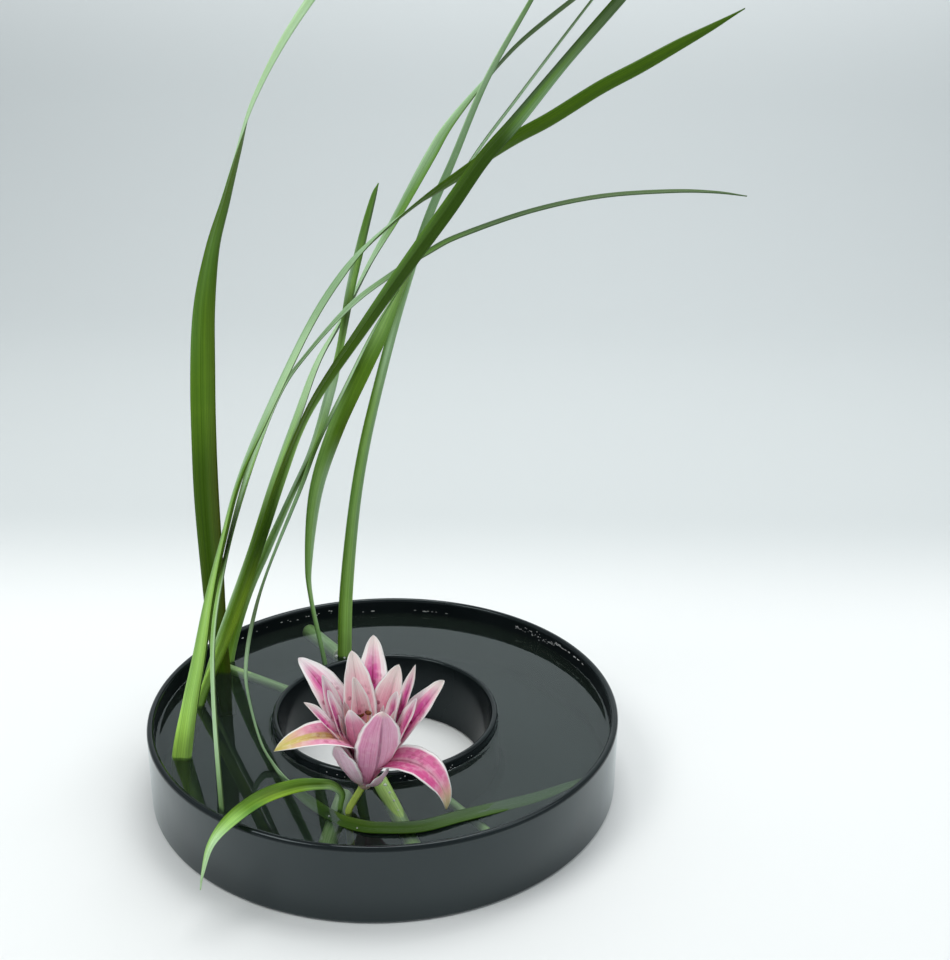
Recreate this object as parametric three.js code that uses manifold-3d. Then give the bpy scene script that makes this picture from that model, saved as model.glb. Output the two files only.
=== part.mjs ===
/*
Ikebana arrangement: long arching leaves and a double lily in a low, ring-shaped water bowl.

Millimetres, +Z up, +X to the right and -Y towards the viewer. Everything is laid out about
the bowl's axis, and the finished group is then moved so that its origin is the middle of
the underside of its box.
*/
import * as THREE from "three";
import { mergeVertices } from "three/addons/utils/BufferGeometryUtils.js";
import Module from "manifold-3d";

const wasm = await Module();
wasm.setup();

// Bowl and water
const BOWL_RADIUS = 165;
const BOWL_HEIGHT = 55;
const WALL = 5;
const FLOOR = 4;
const RING_HEIGHT = 49;
const RING_LIP_RADIUS = 80;
const RING_FOOT_RADIUS = 82;
const RING_LIP_WALL = 4.5;
const HOLE_FOOT_RADIUS = 70;
const INNER_CORNER = 4;
const FOOT_CORNER = 1.5;
const WATER_LEVEL = 42;
const ROUND_SEGMENTS = 64;

// Fits
const GAP = 0.3;
const WATER_GAP = 0.35;
const THROUGH = 3;
const WELD = 1e-4;

// Plants
const LEAF_FOOT = FLOOR + 0.6;
const EDGE_THICKNESS = 0.7;
const LEAF_THICKNESS = 0.9;
const STATIONS_PER_SPAN = 2;
const ACROSS = [-1, -0.45, 0.45, 1];
const FACING_VIEWER = new THREE.Vector3(0, -0.93, 0.36);
const RECEPTACLE = new THREE.Vector3(-5, -106, 60);
const RECEPTACLE_RADIUS = 6;

// Finishes
const LACQUER = { color: 0x121416, roughness: 0.06, metalness: 0 };
const WATER = { color: 0x3c4444, roughness: 0.02, metalness: 0 };
const LEAF = { color: 0x3f6b1e, roughness: 0.45, metalness: 0 };
const PALE_LEAF = { color: 0x7fa56b, roughness: 0.5, metalness: 0 };
const STALK = { color: 0x86a55a, roughness: 0.5, metalness: 0 };
const PETAL = { color: 0xdd86a8, roughness: 0.55, metalness: 0 };
const ANTHER = { color: 0x6b2f1c, roughness: 0.8, metalness: 0 };

const group = new THREE.Group();

// Turns a closed geometry into a solid, with its faces pointing out.
function solidFrom(geometry) {
  geometry.deleteAttribute("normal");
  geometry.deleteAttribute("uv");
  const merged = mergeVertices(geometry, WELD);
  const vertProperties = new Float32Array(merged.attributes.position.array);
  const triVerts = new Uint32Array(merged.index.array);
  if (signedVolume(vertProperties, triVerts) < 0) {
    for (let i = 0; i < triVerts.length; i += 3) {
      const first = triVerts[i];
      triVerts[i] = triVerts[i + 1];
      triVerts[i + 1] = first;
    }
  }
  return new wasm.Manifold(new wasm.Mesh({ numProp: 3, vertProperties, triVerts }));
}

function signedVolume(positions, triangles) {
  const corner = (index) => new THREE.Vector3().fromArray(positions, 3 * index);
  let volume = 0;
  for (let i = 0; i < triangles.length; i += 3) {
    const a = corner(triangles[i]);
    const b = corner(triangles[i + 1]);
    const c = corner(triangles[i + 2]);
    volume += a.dot(b.cross(c)) / 6;
  }
  return volume;
}

// Keeps the largest body, so that sealed pockets are filled and loose scraps dropped.
function oneBody(solid) {
  const bodies = solid.decompose();
  bodies.sort((a, b) => b.volume() - a.volume());
  return bodies[0];
}

function addPart(name, solid, finish) {
  const mesh = oneBody(solid).getMesh();
  const geometry = new THREE.BufferGeometry();
  geometry.setAttribute("position", new THREE.BufferAttribute(mesh.vertProperties, 3));
  geometry.setIndex(new THREE.BufferAttribute(mesh.triVerts, 1));
  geometry.computeVertexNormals();
  const part = new THREE.Mesh(geometry, new THREE.MeshStandardMaterial(finish));
  part.name = name;
  group.add(part);
}

function toRadians(degrees) {
  return THREE.MathUtils.degToRad(degrees);
}

// Turned work: a closed outline of [radius, height] points, spun about the bowl's axis.
function turned(outline) {
  const closed = [...outline, outline[0]].map(([r, z]) => new THREE.Vector2(r, z));
  const geometry = new THREE.LatheGeometry(closed, ROUND_SEGMENTS);
  geometry.rotateX(Math.PI / 2);
  return solidFrom(geometry);
}

// The rounded top of a wall, from its outer side over to its inner side.
function roundOver(centreR, centreZ, radius) {
  const steps = 5;
  const points = [];
  for (let i = 0; i <= steps; i += 1) {
    const angle = (Math.PI * i) / steps;
    points.push([centreR + radius * Math.cos(angle), centreZ + radius * Math.sin(angle)]);
  }
  return points;
}

// Outer radius of the inner ring at a height: it narrows a little towards its lip.
function ringRadius(z) {
  const rise = (z - FLOOR) / (RING_HEIGHT - FLOOR);
  return THREE.MathUtils.lerp(RING_FOOT_RADIUS, RING_LIP_RADIUS, rise);
}

// The wet side of the trough, from the outer wall at the top down to the floor and up the ring.
function trough(inset, outerTop, ringTop) {
  const wall = BOWL_RADIUS - WALL - inset;
  const floor = FLOOR + inset;
  const ringFoot = RING_FOOT_RADIUS + inset;
  return [
    [wall, outerTop],
    [wall, floor + INNER_CORNER],
    [wall - INNER_CORNER, floor],
    [ringFoot + INNER_CORNER, floor],
    [ringRadius(floor + INNER_CORNER) + inset, floor + INNER_CORNER],
    [ringRadius(ringTop) + inset, ringTop],
  ];
}

function bowl() {
  const rimRound = WALL / 2;
  const lipRound = RING_LIP_WALL / 2;
  const rimZ = BOWL_HEIGHT - rimRound;
  const lipZ = RING_HEIGHT - lipRound;
  const rim = roundOver(BOWL_RADIUS - rimRound, rimZ, rimRound);
  const lip = roundOver(ringRadius(lipZ) - lipRound, lipZ, lipRound);
  const outline = [
    [HOLE_FOOT_RADIUS, FOOT_CORNER],
    [HOLE_FOOT_RADIUS + FOOT_CORNER, 0],
    [BOWL_RADIUS - FOOT_CORNER, 0],
    [BOWL_RADIUS, FOOT_CORNER],
    ...rim,
    ...trough(0, rimZ, lipZ).slice(1, -1),
    ...lip,
  ];
  return turned(outline);
}

function waterBody() {
  return turned(trough(GAP, WATER_LEVEL, WATER_LEVEL));
}

/*
A blade is a row of stations. Each has a point, a tangent and a face normal, a width,
a middle thickness and a cup: how far its middle lies behind its edges, for each unit of
half-width. Both faces are split into triangles alike.
*/
function bladeGeometry(stations, grow) {
  const positions = [];
  const lanes = ACROSS.length;
  for (const s of stations) {
    const side = new THREE.Vector3().crossVectors(s.tangent, s.normal).normalize();
    const half = s.width / 2 + grow;
    for (const u of ACROSS) {
      const bow = 1 - u * u;
      const dish = -s.cup * (s.width / 2) * (bow - 0.5);
      const thick = THREE.MathUtils.lerp(EDGE_THICKNESS, s.thickness, bow) / 2 + grow;
      for (const face of [1, -1]) {
        const point = s.point.clone().addScaledVector(side, u * half);
        point.addScaledVector(s.normal, dish + face * thick);
        positions.push(...point.toArray());
      }
    }
  }
  const at = (i, k, face) => (i * lanes + k) * 2 + face;
  const index = [];
  const quad = (a, b, c, d) => index.push(a, b, c, a, c, d);
  for (let i = 0; i + 1 < stations.length; i += 1) {
    for (let k = 0; k + 1 < lanes; k += 1) {
      quad(at(i, k, 0), at(i, k + 1, 0), at(i + 1, k + 1, 0), at(i + 1, k, 0));
      index.push(at(i, k, 1), at(i + 1, k + 1, 1), at(i, k + 1, 1));
      index.push(at(i, k, 1), at(i + 1, k, 1), at(i + 1, k + 1, 1));
    }
    quad(at(i, 0, 0), at(i + 1, 0, 0), at(i + 1, 0, 1), at(i, 0, 1));
    const edge = lanes - 1;
    quad(at(i, edge, 1), at(i + 1, edge, 1), at(i + 1, edge, 0), at(i, edge, 0));
  }
  const last = stations.length - 1;
  for (let k = 0; k + 1 < lanes; k += 1) {
    quad(at(0, k, 0), at(0, k, 1), at(0, k + 1, 1), at(0, k + 1, 0));
    quad(at(last, k, 1), at(last, k, 0), at(last, k + 1, 0), at(last, k + 1, 1));
  }
  const geometry = new THREE.BufferGeometry();
  geometry.setAttribute("position", new THREE.Float32BufferAttribute(positions, 3));
  geometry.setIndex(index);
  return geometry;
}

// Smooth value between the knots of a list, by the same cubic that the routes follow.
function smoothValue(values, t) {
  const at = t * (values.length - 1);
  const span = Math.min(Math.floor(at), values.length - 2);
  const f = at - span;
  const knot = (k) => values[THREE.MathUtils.clamp(k, 0, values.length - 1)];
  const [a, b, c, d] = [knot(span - 1), knot(span), knot(span + 1), knot(span + 2)];
  const slopeB = (c - a) / 2;
  const slopeC = (d - b) / 2;
  const bend = 3 * (c - b) - 2 * slopeB - slopeC;
  const twist = 2 * (b - c) + slopeB + slopeC;
  return b + f * (slopeB + f * (bend + f * twist));
}

/*
A leaf's knots are [x, y, z, width, turn]. The turn is how far its face is rotated about its
own length from facing the viewer: 0 is face on, 90 is edge on and past 90 shows its back.
Its stalk is the extra thickness at the foot, which fades along the leaf.
*/
function leafStations(leaf) {
  const points = leaf.knots.map(([x, y, z]) => new THREE.Vector3(x, y, z));
  const curve = new THREE.CatmullRomCurve3(points, false, "catmullrom", 0.5);
  const widths = leaf.knots.map((knot) => knot[3]);
  const turns = leaf.knots.map((knot) => knot[4]);
  const count = (points.length - 1) * STATIONS_PER_SPAN;
  const stations = [];
  for (let i = 0; i <= count; i += 1) {
    const t = i / count;
    const tangent = curve.getTangent(t);
    const normal = FACING_VIEWER.clone().addScaledVector(tangent, -FACING_VIEWER.dot(tangent));
    normal.normalize().applyAxisAngle(tangent, toRadians(smoothValue(turns, t)));
    const width = Math.max(smoothValue(widths, t), EDGE_THICKNESS);
    const stem = leaf.stalk * (1 - t) ** 4;
    const thickness = Math.min(LEAF_THICKNESS + stem, Math.max(width * 0.6, LEAF_THICKNESS));
    stations.push({ point: curve.getPoint(t), tangent, normal, width, thickness, cup: leaf.cup });
  }
  return stations;
}

// A standing leaf is cut level just above the floor. Its hole runs on through the water's underside.
function leafSolid(leaf) {
  if (!leaf.stands) {
    return solidFrom(bladeGeometry(leafStations(leaf), 0));
  }
  return solidFrom(bladeGeometry(withFoot(leaf, THROUGH), 0)).subtract(underFloor());
}

function leafHole(leaf) {
  const stations = withFoot(leaf, 2 * THROUGH);
  const tip = stations.at(-1);
  const point = tip.point.clone().addScaledVector(tip.tangent, WATER_GAP);
  stations.push({ ...tip, point });
  return solidFrom(bladeGeometry(stations, WATER_GAP));
}

function withFoot(leaf, reach) {
  const stations = leafStations(leaf);
  const foot = stations[0];
  const point = foot.point.clone().addScaledVector(foot.tangent, -reach);
  return [{ ...foot, point }, ...stations];
}

function underFloor() {
  const depth = 4 * THROUGH;
  const block = new THREE.BoxGeometry(2 * BOWL_RADIUS, 2 * BOWL_RADIUS, depth);
  block.translate(0, 0, FLOOR + GAP - depth / 2);
  return solidFrom(block);
}

const LEAVES = [
  {
    name: "tall_leaf", finish: LEAF, stalk: 3, cup: 0.16, stands: true,
    knots: [
      [-126, 60, LEAF_FOOT, 12, 0], [-130, 60.5, 69, 14.5, 0], [-130.5, 59.5, 128, 17, 0],
      [-130.5, 58, 184, 18, 0], [-129, 56, 230, 17.5, 4], [-126.5, 54, 275, 17, 10],
      [-122, 51, 324, 15.5, 34], [-113.5, 48, 365.5, 14, 64], [-102, 45, 398.5, 12.5, 78],
      [-91, 42, 430, 11.5, 92], [-79, 38, 461, 11, 116], [-62, 33, 491, 10, 133],
      [-41, 28, 519.5, 9, 145], [-17, 22, 546, 7, 155], [13, 14, 569, 3.5, 165],
      [25, 11, 576, 0.9, 170],
    ],
  },
  {
    name: "front_leaf", finish: PALE_LEAF, stalk: 7, cup: 0.14, stands: true,
    knots: [
      [-138, -52, LEAF_FOOT, 13.5, 0], [-134, -52, 41, 13.5, 0], [-125.5, -52, 82, 12.5, -24],
      [-117.5, -52, 115.5, 12, -38], [-108, -50.5, 159, 11.5, -56], [-98, -49, 197, 10.5, -70],
      [-86, -45, 238, 9.5, -71], [-68.5, -40, 277.5, 9, -54], [-41.5, -28, 332, 9, -53],
      [-21.5, -20, 363, 9, -54], [-4, -13, 382.5, 9, -67], [20, -5, 402, 9, -82],
      [44, 2, 417.5, 9, -113], [80.5, 11, 441, 9, -134], [104.5, 15, 454, 8.5, -154],
      [134, 19, 472, 8.3, -158], [158, 22, 484.5, 8, -160], [181.5, 24, 497.5, 6.6, -162],
      [200.5, 26, 507.5, 4, -164], [219.5, 28, 518, 0.8, -165],
    ],
  },
  {
    name: "arching_leaf", finish: PALE_LEAF, stalk: 1.5, cup: 0.2, stands: true,
    knots: [
      [-93, -116, LEAF_FOOT, 5, -50], [-96, -108, 42.5, 5, -50], [-101, -88, 104, 5.5, -56],
      [-102.5, -70, 144, 6, -54], [-98, -55, 177.5, 6.5, -60], [-90, -43, 212, 7, -56],
      [-76.5, -31, 254.5, 7, -44], [-61, -23, 290, 6.5, -54], [-44.5, -17, 313, 6, -62],
      [-17.5, -8, 342, 6, -48], [7, -1, 360, 6, -48], [32, 1, 375.5, 6, -44],
      [50.5, -1, 385.5, 5.6, -44], [93, -8, 402, 5.2, -46], [134, -16, 412.5, 4.6, -44],
      [174.5, -23, 417, 3.8, -42], [200, -28, 417.5, 2.2, -40], [218, -32, 416, 0.8, -40],
    ],
  },
  {
    name: "broad_leaf", finish: PALE_LEAF, stalk: 3, cup: 0.18, stands: true,
    knots: [
      [-147, 38, LEAF_FOOT, 7, -42], [-137, 37, 42, 7, -42], [-123, 35.5, 83.5, 8, -42],
      [-98.5, 36, 147.5, 9, -46], [-79, 38, 204, 9.5, -48], [-61.5, 43, 250, 10, -50],
      [-46.5, 48, 289, 10, -60], [-29, 52, 320, 10, -74], [-10.5, 54, 356, 10, -66],
      [10, 55, 390.5, 10, -46], [30, 54, 426, 9.5, -32], [43, 52.5, 447, 9, -42],
      [65, 50, 474, 8.5, -66], [77, 50, 487.5, 8, -88], [92, 50, 501.5, 7.5, -106],
      [119, 50, 522.5, 6, -128], [137, 49, 535.5, 3.6, -130], [148.5, 48, 543, 0.8, -130],
    ],
  },
  {
    name: "middle_leaf", finish: LEAF, stalk: 2.5, cup: 0.16, stands: true,
    knots: [
      [-146, 9, LEAF_FOOT, 6.5, 20], [-134.5, 12, 46, 7, 24], [-114, 12, 95.5, 7.5, 24],
      [-89.5, 9, 160, 8.5, 42], [-67.5, 2, 222, 9, 54], [-52.5, -4, 259, 9, 70],
      [-37, -11, 288.5, 9.5, 62], [-9.5, -19, 330, 10, 52], [17, -24, 368.5, 10.5, 42],
      [43, -25, 404.5, 10.5, 32], [63.5, -22, 433.5, 10.5, 44], [83.5, -17, 456, 10, 46],
      [111.5, -8, 489, 9, 56], [141, 2, 521.5, 7.5, 42], [159, 8, 541, 6, 40],
      [178.5, 14, 560.5, 3.4, 40], [187, 17, 568.5, 0.8, 40],
    ],
  },
  {
    name: "short_leaf", finish: LEAF, stalk: 3, cup: 0.16, stands: true,
    knots: [
      [-130, 76.5, LEAF_FOOT, 8.5, 12], [-126.5, 77, 45.5, 8.7, 12], [-110.5, 72, 97.5, 8.2, 34],
      [-90.5, 66, 143, 7.8, 46], [-67.5, 56, 193.5, 7.6, 64], [-51.5, 48, 228, 7.4, 48],
      [-37.5, 42.5, 272, 7.2, 34], [-29.5, 39, 304.5, 7, 56], [-21.5, 35, 343, 6.5, 34],
      [-13, 33, 376, 5.8, 26], [-5, 31, 403.5, 3.6, 14], [-1.5, 30, 412.5, 0.8, 10],
    ],
  },
  {
    name: "upright_leaf", finish: PALE_LEAF, stalk: 6, cup: 0.12, stands: true,
    knots: [
      [-41, 92.5, LEAF_FOOT, 11, 0], [-38.5, 88.5, 42, 11, 0], [-35.5, 84, 96.5, 10.2, 8],
      [-27.5, 78, 167, 8.8, 16], [-18, 72, 221.5, 8.2, 22], [-4, 64, 279, 7.4, 28],
      [11, 57, 333, 6.8, 32], [28.5, 48, 387, 6.2, 34], [45, 41, 426, 5.4, 38],
      [65.5, 35, 475, 4.2, 34], [91.5, 29, 521, 3, 34], [108.5, 24, 551.5, 0.8, 34],
    ],
  },
  {
    name: "twisted_leaf", finish: LEAF, stalk: 1.2, cup: 0.12, stands: true,
    knots: [
      [-48, 77, LEAF_FOOT, 5, 60], [-52, 74, 42, 5.4, 66], [-60.5, 72, 98, 6.6, 74],
      [-61, 70, 132, 8.4, 56], [-53, 64, 189, 10.2, 26], [-36.5, 56, 239, 11.4, 14],
      [-15.5, 47, 285.5, 11.6, 16], [-1.5, 42, 314.5, 11, 36], [13, 35, 347.5, 9.5, 74],
      [31, 31, 380, 8.5, 84], [56.5, 26, 427, 7.5, 86], [86, 22, 467.5, 6.5, 88],
      [120.5, 20, 513, 5, 88], [141.5, 19, 540, 3, 88], [149, 19, 550, 0.8, 88],
    ],
  },
  {
    name: "trailing_leaf", finish: LEAF, stalk: 0, cup: 0.1, stands: false,
    knots: [
      [11, 27.5, 345.5, 1.2, 62], [-6, 27, 318, 3.6, 60], [-26.5, 25, 277.5, 4.6, 56],
      [-44.5, 21, 241, 5.2, 50], [-56, 16, 211.5, 5.6, 54], [-79, 1, 156, 6, 68],
      [-88.5, -12, 124.5, 6, 56], [-92, -27, 98, 5.6, 52], [-89.5, -37, 80, 5.2, 58],
      [-80, -54, 56.5, 4.8, 58], [-70, -66, 46, 5, 50], [-59, -78.5, 40, 5.6, 20],
      [-47, -91, 38.2, 6.6, -20], [-35, -105, 39.2, 8, -50], [-21, -119, 40.6, 9.4, -60],
      [-7, -127, 41.4, 11.5, -66], [6, -129.5, 41.8, 12, -69], [30.5, -127.5, 42, 12.5, -69],
      [55, -116, 42, 12.5, -69], [80.5, -104, 41.7, 12, -69], [105, -91.5, 41, 10.5, -68],
      [127, -76.5, 40, 6.5, -68], [141, -65.5, 39.4, 0.9, -68],
    ],
  },
  {
    name: "drooping_leaf", finish: PALE_LEAF, stalk: 1, cup: 0.14, stands: false,
    knots: [
      [-21.5, -109, 39.4, 3.2, 0], [-20.3, -109, 46, 3.4, 0], [-19.5, -109, 53.3, 4.4, 10],
      [-23.5, -110.5, 59.5, 6, 40], [-30.5, -113, 63.2, 8, 52], [-46.5, -121, 67, 11, 54],
      [-65, -133, 67, 12.5, 52], [-81, -148, 62, 11, 44], [-91, -161, 54, 6, 36],
      [-95, -170, 40.5, 2.2, 20], [-96.5, -173, 30.5, 0.8, 10],
    ],
  },
];

/*
Cut stalks laid across the trough to wedge the leaves. An end that meets a wall is cut to
the wall's curve, and its hole in the water opens there.
*/
const STRUTS = [
  { name: "back_strut", from: [-76, 144, 35], to: [-43.6, 100.3, 35], radius: 6, freeEnd: true },
  { name: "left_strut", from: [-138.5, 74.2, 41.8], to: [-66, 40, 34.5], radius: 3.6, freeStart: true },
  { name: "pale_strut", from: [-20.5, -78, 33.5], to: [-30, -160, 31.5], radius: 6 },
  { name: "front_strut", from: [-1, -75, 46.4], to: [38, -157, 28], radius: 5 },
  { name: "right_strut", from: [34, -73.5, 36], to: [88, -137.5, 33], radius: 3 },
];

function rod(from, to, radius, sides = 14) {
  const start = new THREE.Vector3(...from);
  const axis = new THREE.Vector3(...to).sub(start);
  const geometry = new THREE.CylinderGeometry(radius, radius, axis.length(), sides, 1);
  geometry.translate(0, axis.length() / 2, 0);
  const up = new THREE.Vector3(0, 1, 0);
  geometry.applyQuaternion(new THREE.Quaternion().setFromUnitVectors(up, axis.normalize()));
  geometry.translate(...from);
  return solidFrom(geometry);
}

function strutSolid(strut, room) {
  return rod(strut.from, strut.to, strut.radius).intersect(room);
}

function strutHole(strut) {
  const start = new THREE.Vector3(...strut.from);
  const end = new THREE.Vector3(...strut.to);
  const along = end.clone().sub(start).normalize();
  start.addScaledVector(along, strut.freeStart ? -WATER_GAP : -THROUGH);
  end.addScaledVector(along, strut.freeEnd ? WATER_GAP : THROUGH);
  return rod(start.toArray(), end.toArray(), strut.radius + WATER_GAP);
}

// Lily stem, from under the bloom down to the floor of the trough.
const STEM_RADIUS = 2.1;
const STEM_ROUTE = [
  [-6.5, -106.5, 59], [-8.5, -107.4, 54.5], [-12, -109.5, 49.5], [-15.5, -111.8, 42],
  [-15, -112.8, 30], [-13, -113, LEAF_FOOT],
];

function stemTube(grow, reach) {
  const points = STEM_ROUTE.map((p) => new THREE.Vector3(...p));
  points.at(-1).z -= reach;
  const outline = new THREE.Shape();
  outline.absarc(0, 0, STEM_RADIUS + grow, 0, 2 * Math.PI);
  const options = {
    steps: 12,
    bevelEnabled: false,
    curveSegments: 5,
    extrudePath: new THREE.CatmullRomCurve3(points),
  };
  return solidFrom(new THREE.ExtrudeGeometry(outline, options));
}

function ball(centre, radii, around = 8) {
  const geometry = new THREE.SphereGeometry(1, around, around / 2 + 1);
  geometry.scale(...radii);
  geometry.translate(...centre);
  return solidFrom(geometry);
}

function receptacle(grow) {
  const r = RECEPTACLE_RADIUS + grow;
  return ball(RECEPTACLE.toArray(), [r, r, r], 12);
}

/*
Petals spring from the receptacle. The azimuth is seen from above, from +X towards +Y. A petal
rises at one slope at its root and ends at another, so that it opens or curls over. Its lean
swings it sideways along its length and its roll turns it about its length.
*/
const PETALS = [
  { azimuth: -59, rise: 60.5, end: 78, length: 71.7, width: 27.7, cup: 0.43, lean: -5, roll: -27 },
  { azimuth: -139, rise: 105, end: -36, length: 88.5, width: 24, cup: 0.22, lean: -29, roll: -17 },
  { azimuth: -126, rise: 51, end: 73, length: 45, width: 18, cup: 0.34, lean: -3, roll: 11 },
  { azimuth: -18, rise: 83.4, end: -101, length: 83, width: 23, cup: 0.2, lean: -6, roll: 15 },
  { azimuth: -54, rise: 31, end: 65, length: 32, width: 15, cup: 0.3, lean: 11, roll: 12 },
  { azimuth: 12, rise: 62.4, end: 48, length: 83.5, width: 21.3, cup: 0.38, lean: -3, roll: 23 },
  { azimuth: 80.6, rise: 79.4, end: 42.2, length: 92.5, width: 21.4, cup: 0.34, lean: 15, roll: 7 },
  { azimuth: 147, rise: 84, end: 34.3, length: 91, width: 24, cup: 0.43, lean: 13, roll: -17 },
  { azimuth: 103, rise: 84.3, end: 54.5, length: 83.3, width: 21.2, cup: 0.43, lean: 12, roll: 3 },
  { azimuth: 48.5, rise: 77, end: 58.3, length: 77, width: 22, cup: 0.39, lean: 3.5, roll: 13 },
  { azimuth: 22, rise: 63.5, end: 72, length: 83, width: 11.5, cup: 0.42, lean: 9, roll: 16 },
  { azimuth: -3, rise: 61.4, end: 67, length: 68.6, width: 14.2, cup: 0.43, lean: 12, roll: 27 },
  { azimuth: 14, rise: 71.3, end: 76, length: 65, width: 14.2, cup: 0.36, lean: 14.5, roll: 23 },
  { azimuth: 165, rise: 71.8, end: 70.7, length: 75.6, width: 15.8, cup: 0.41, lean: -17, roll: -10 },
  { azimuth: 186, rise: 75.5, end: 73.5, length: 69.2, width: 13.8, cup: 0.44, lean: -16, roll: -15 },
  { azimuth: 122, rise: 96.3, end: 72.4, length: 72.5, width: 16.9, cup: 0.43, lean: 18, roll: 6 },
  { azimuth: 243, rise: 90.4, end: 67.8, length: 61.8, width: 18.3, cup: 0.51, lean: 1, roll: 8 },
  { azimuth: 208, rise: 77.8, end: 47.6, length: 77, width: 12, cup: 0.61, lean: -4, roll: -31 },
];
const PETAL_STATIONS = 8;
const PETAL_ROOT = 3;
const PETAL_THICKNESS = 1.1;

// Share of a petal's full width along its length: a claw, full past the middle, a blunt point.
function petalOutline(t) {
  const body = Math.max(Math.sin(Math.PI * t ** 1.2), 0) ** 0.62;
  return Math.max(body, 0.24 * (1 - t), 0.05);
}

// Outward, tangent and normal of a petal at a share of its length.
function petalAxes(petal, t) {
  const azimuth = toRadians(petal.azimuth + petal.lean * t * t);
  const slope = toRadians(THREE.MathUtils.lerp(petal.rise, petal.end, t));
  const outward = new THREE.Vector3(Math.cos(azimuth), Math.sin(azimuth), 0);
  const up = new THREE.Vector3(0, 0, 1);
  const tangent = outward.clone().multiplyScalar(Math.cos(slope));
  tangent.addScaledVector(up, Math.sin(slope));
  const normal = outward.clone().multiplyScalar(-Math.sin(slope));
  normal.addScaledVector(up, Math.cos(slope)).applyAxisAngle(tangent, toRadians(petal.roll * t));
  return { outward, tangent, normal };
}

function petalStations(petal) {
  const stations = [];
  const step = petal.length / PETAL_STATIONS;
  const root = petalAxes(petal, 0).outward;
  const point = RECEPTACLE.clone().addScaledVector(root, PETAL_ROOT);
  for (let i = 0; i <= PETAL_STATIONS; i += 1) {
    const t = i / PETAL_STATIONS;
    const { tangent, normal } = petalAxes(petal, t);
    const width = Math.max(petal.width * petalOutline(t), EDGE_THICKNESS);
    stations.push({
      point: point.clone(), tangent, normal, width, thickness: PETAL_THICKNESS, cup: petal.cup,
    });
    point.addScaledVector(petalAxes(petal, t + 0.5 / PETAL_STATIONS).tangent, step);
  }
  return stations;
}

// The heart: a pistil and five stamens that stand on the receptacle.
const HEART_FOOT = RECEPTACLE.z + RECEPTACLE_RADIUS + GAP;
const PISTIL = { top: 104, radius: 1.3, knob: [2, 2, 1.8] };
const STAMEN = { count: 5, fork: 12, spread: 5.2, top: 102, radius: 0.6, anther: [1.4, 1.4, 2.8] };

function grown(radii, grow) {
  return radii.map((radius) => radius + grow);
}

function heartSolid(grow) {
  const [x, y] = [RECEPTACLE.x, RECEPTACLE.y];
  const top = [x, y, PISTIL.top];
  let heart = rod([x, y, HEART_FOOT - grow], top, PISTIL.radius + grow, 8);
  heart = heart.add(ball(top, grown(PISTIL.knob, grow)));
  for (let i = 0; i < STAMEN.count; i += 1) {
    const angle = toRadians(-70 + (360 * i) / STAMEN.count);
    const tipX = x + STAMEN.spread * Math.cos(angle);
    const tipY = y + STAMEN.spread * Math.sin(angle);
    const tip = [tipX, tipY, STAMEN.top + 2 * (i % 2)];
    heart = heart.add(rod([x, y, HEART_FOOT + STAMEN.fork], tip, STAMEN.radius + grow, 6));
    heart = heart.add(ball(tip, grown(STAMEN.anther, grow)));
  }
  return heart;
}

function bloomSolid() {
  let bloom = receptacle(0);
  for (const petal of PETALS) {
    bloom = bloom.add(solidFrom(bladeGeometry(petalStations(petal), 0)));
  }
  return bloom.subtract(heartSolid(GAP));
}

// Assembly
const room = turned(trough(GAP, BOWL_HEIGHT, RING_HEIGHT));
let water = waterBody();
for (const leaf of LEAVES) {
  water = water.subtract(leafHole(leaf));
}
for (const strut of STRUTS) {
  water = water.subtract(strutHole(strut));
}
water = water.subtract(stemTube(2 * WATER_GAP, THROUGH));

addPart("bowl", bowl(), LACQUER);
addPart("water", water, WATER);
for (const leaf of LEAVES) {
  addPart(leaf.name, leafSolid(leaf), leaf.finish);
}
for (const strut of STRUTS) {
  addPart(strut.name, strutSolid(strut, room), STALK);
}
addPart("lily_stem", stemTube(0, 0).subtract(receptacle(GAP)), STALK);
addPart("lily_bloom", bloomSolid(), PETAL);
addPart("lily_heart", heartSolid(0), ANTHER);

const box = new THREE.Box3().setFromObject(group);
const middle = box.getCenter(new THREE.Vector3());
group.position.set(-middle.x, -middle.y, -box.min.z);

export default group;
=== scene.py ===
"""Looks of the ikebana arrangement: lacquered ring bowl, still water, long leaves and a double lily.

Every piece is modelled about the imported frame. Lists of places are in millimetres about the
bowl's own axis, as in the part's source, and are turned into metres when a mesh is made.
"""

import logging
import math
import random
from dataclasses import dataclass
from enum import Enum

import bmesh
import bpy
from mathutils import Matrix, Vector


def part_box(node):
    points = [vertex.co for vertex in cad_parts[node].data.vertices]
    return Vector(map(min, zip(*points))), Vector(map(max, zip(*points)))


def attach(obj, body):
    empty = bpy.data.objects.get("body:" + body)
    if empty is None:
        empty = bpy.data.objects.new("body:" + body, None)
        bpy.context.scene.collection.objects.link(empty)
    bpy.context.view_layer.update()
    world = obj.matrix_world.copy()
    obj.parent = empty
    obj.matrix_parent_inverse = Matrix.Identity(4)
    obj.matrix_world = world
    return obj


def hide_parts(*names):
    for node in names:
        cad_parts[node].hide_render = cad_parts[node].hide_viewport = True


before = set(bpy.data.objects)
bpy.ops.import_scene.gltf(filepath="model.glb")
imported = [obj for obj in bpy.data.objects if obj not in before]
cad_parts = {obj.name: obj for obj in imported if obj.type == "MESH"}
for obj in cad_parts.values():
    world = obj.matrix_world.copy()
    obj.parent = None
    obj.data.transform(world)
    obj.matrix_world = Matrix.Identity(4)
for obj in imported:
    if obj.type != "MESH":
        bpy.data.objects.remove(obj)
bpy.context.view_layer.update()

LOG = logging.getLogger("ikebana")
MM = 0.001
BODY = "root"
PHOTO_WIDTH = 950
PHOTO_HEIGHT = 960
WATER_LEVEL = 42.0
WELD = 1e-6
NARROWEST = 0.5
BEVEL_SHARE = 0.18

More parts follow.
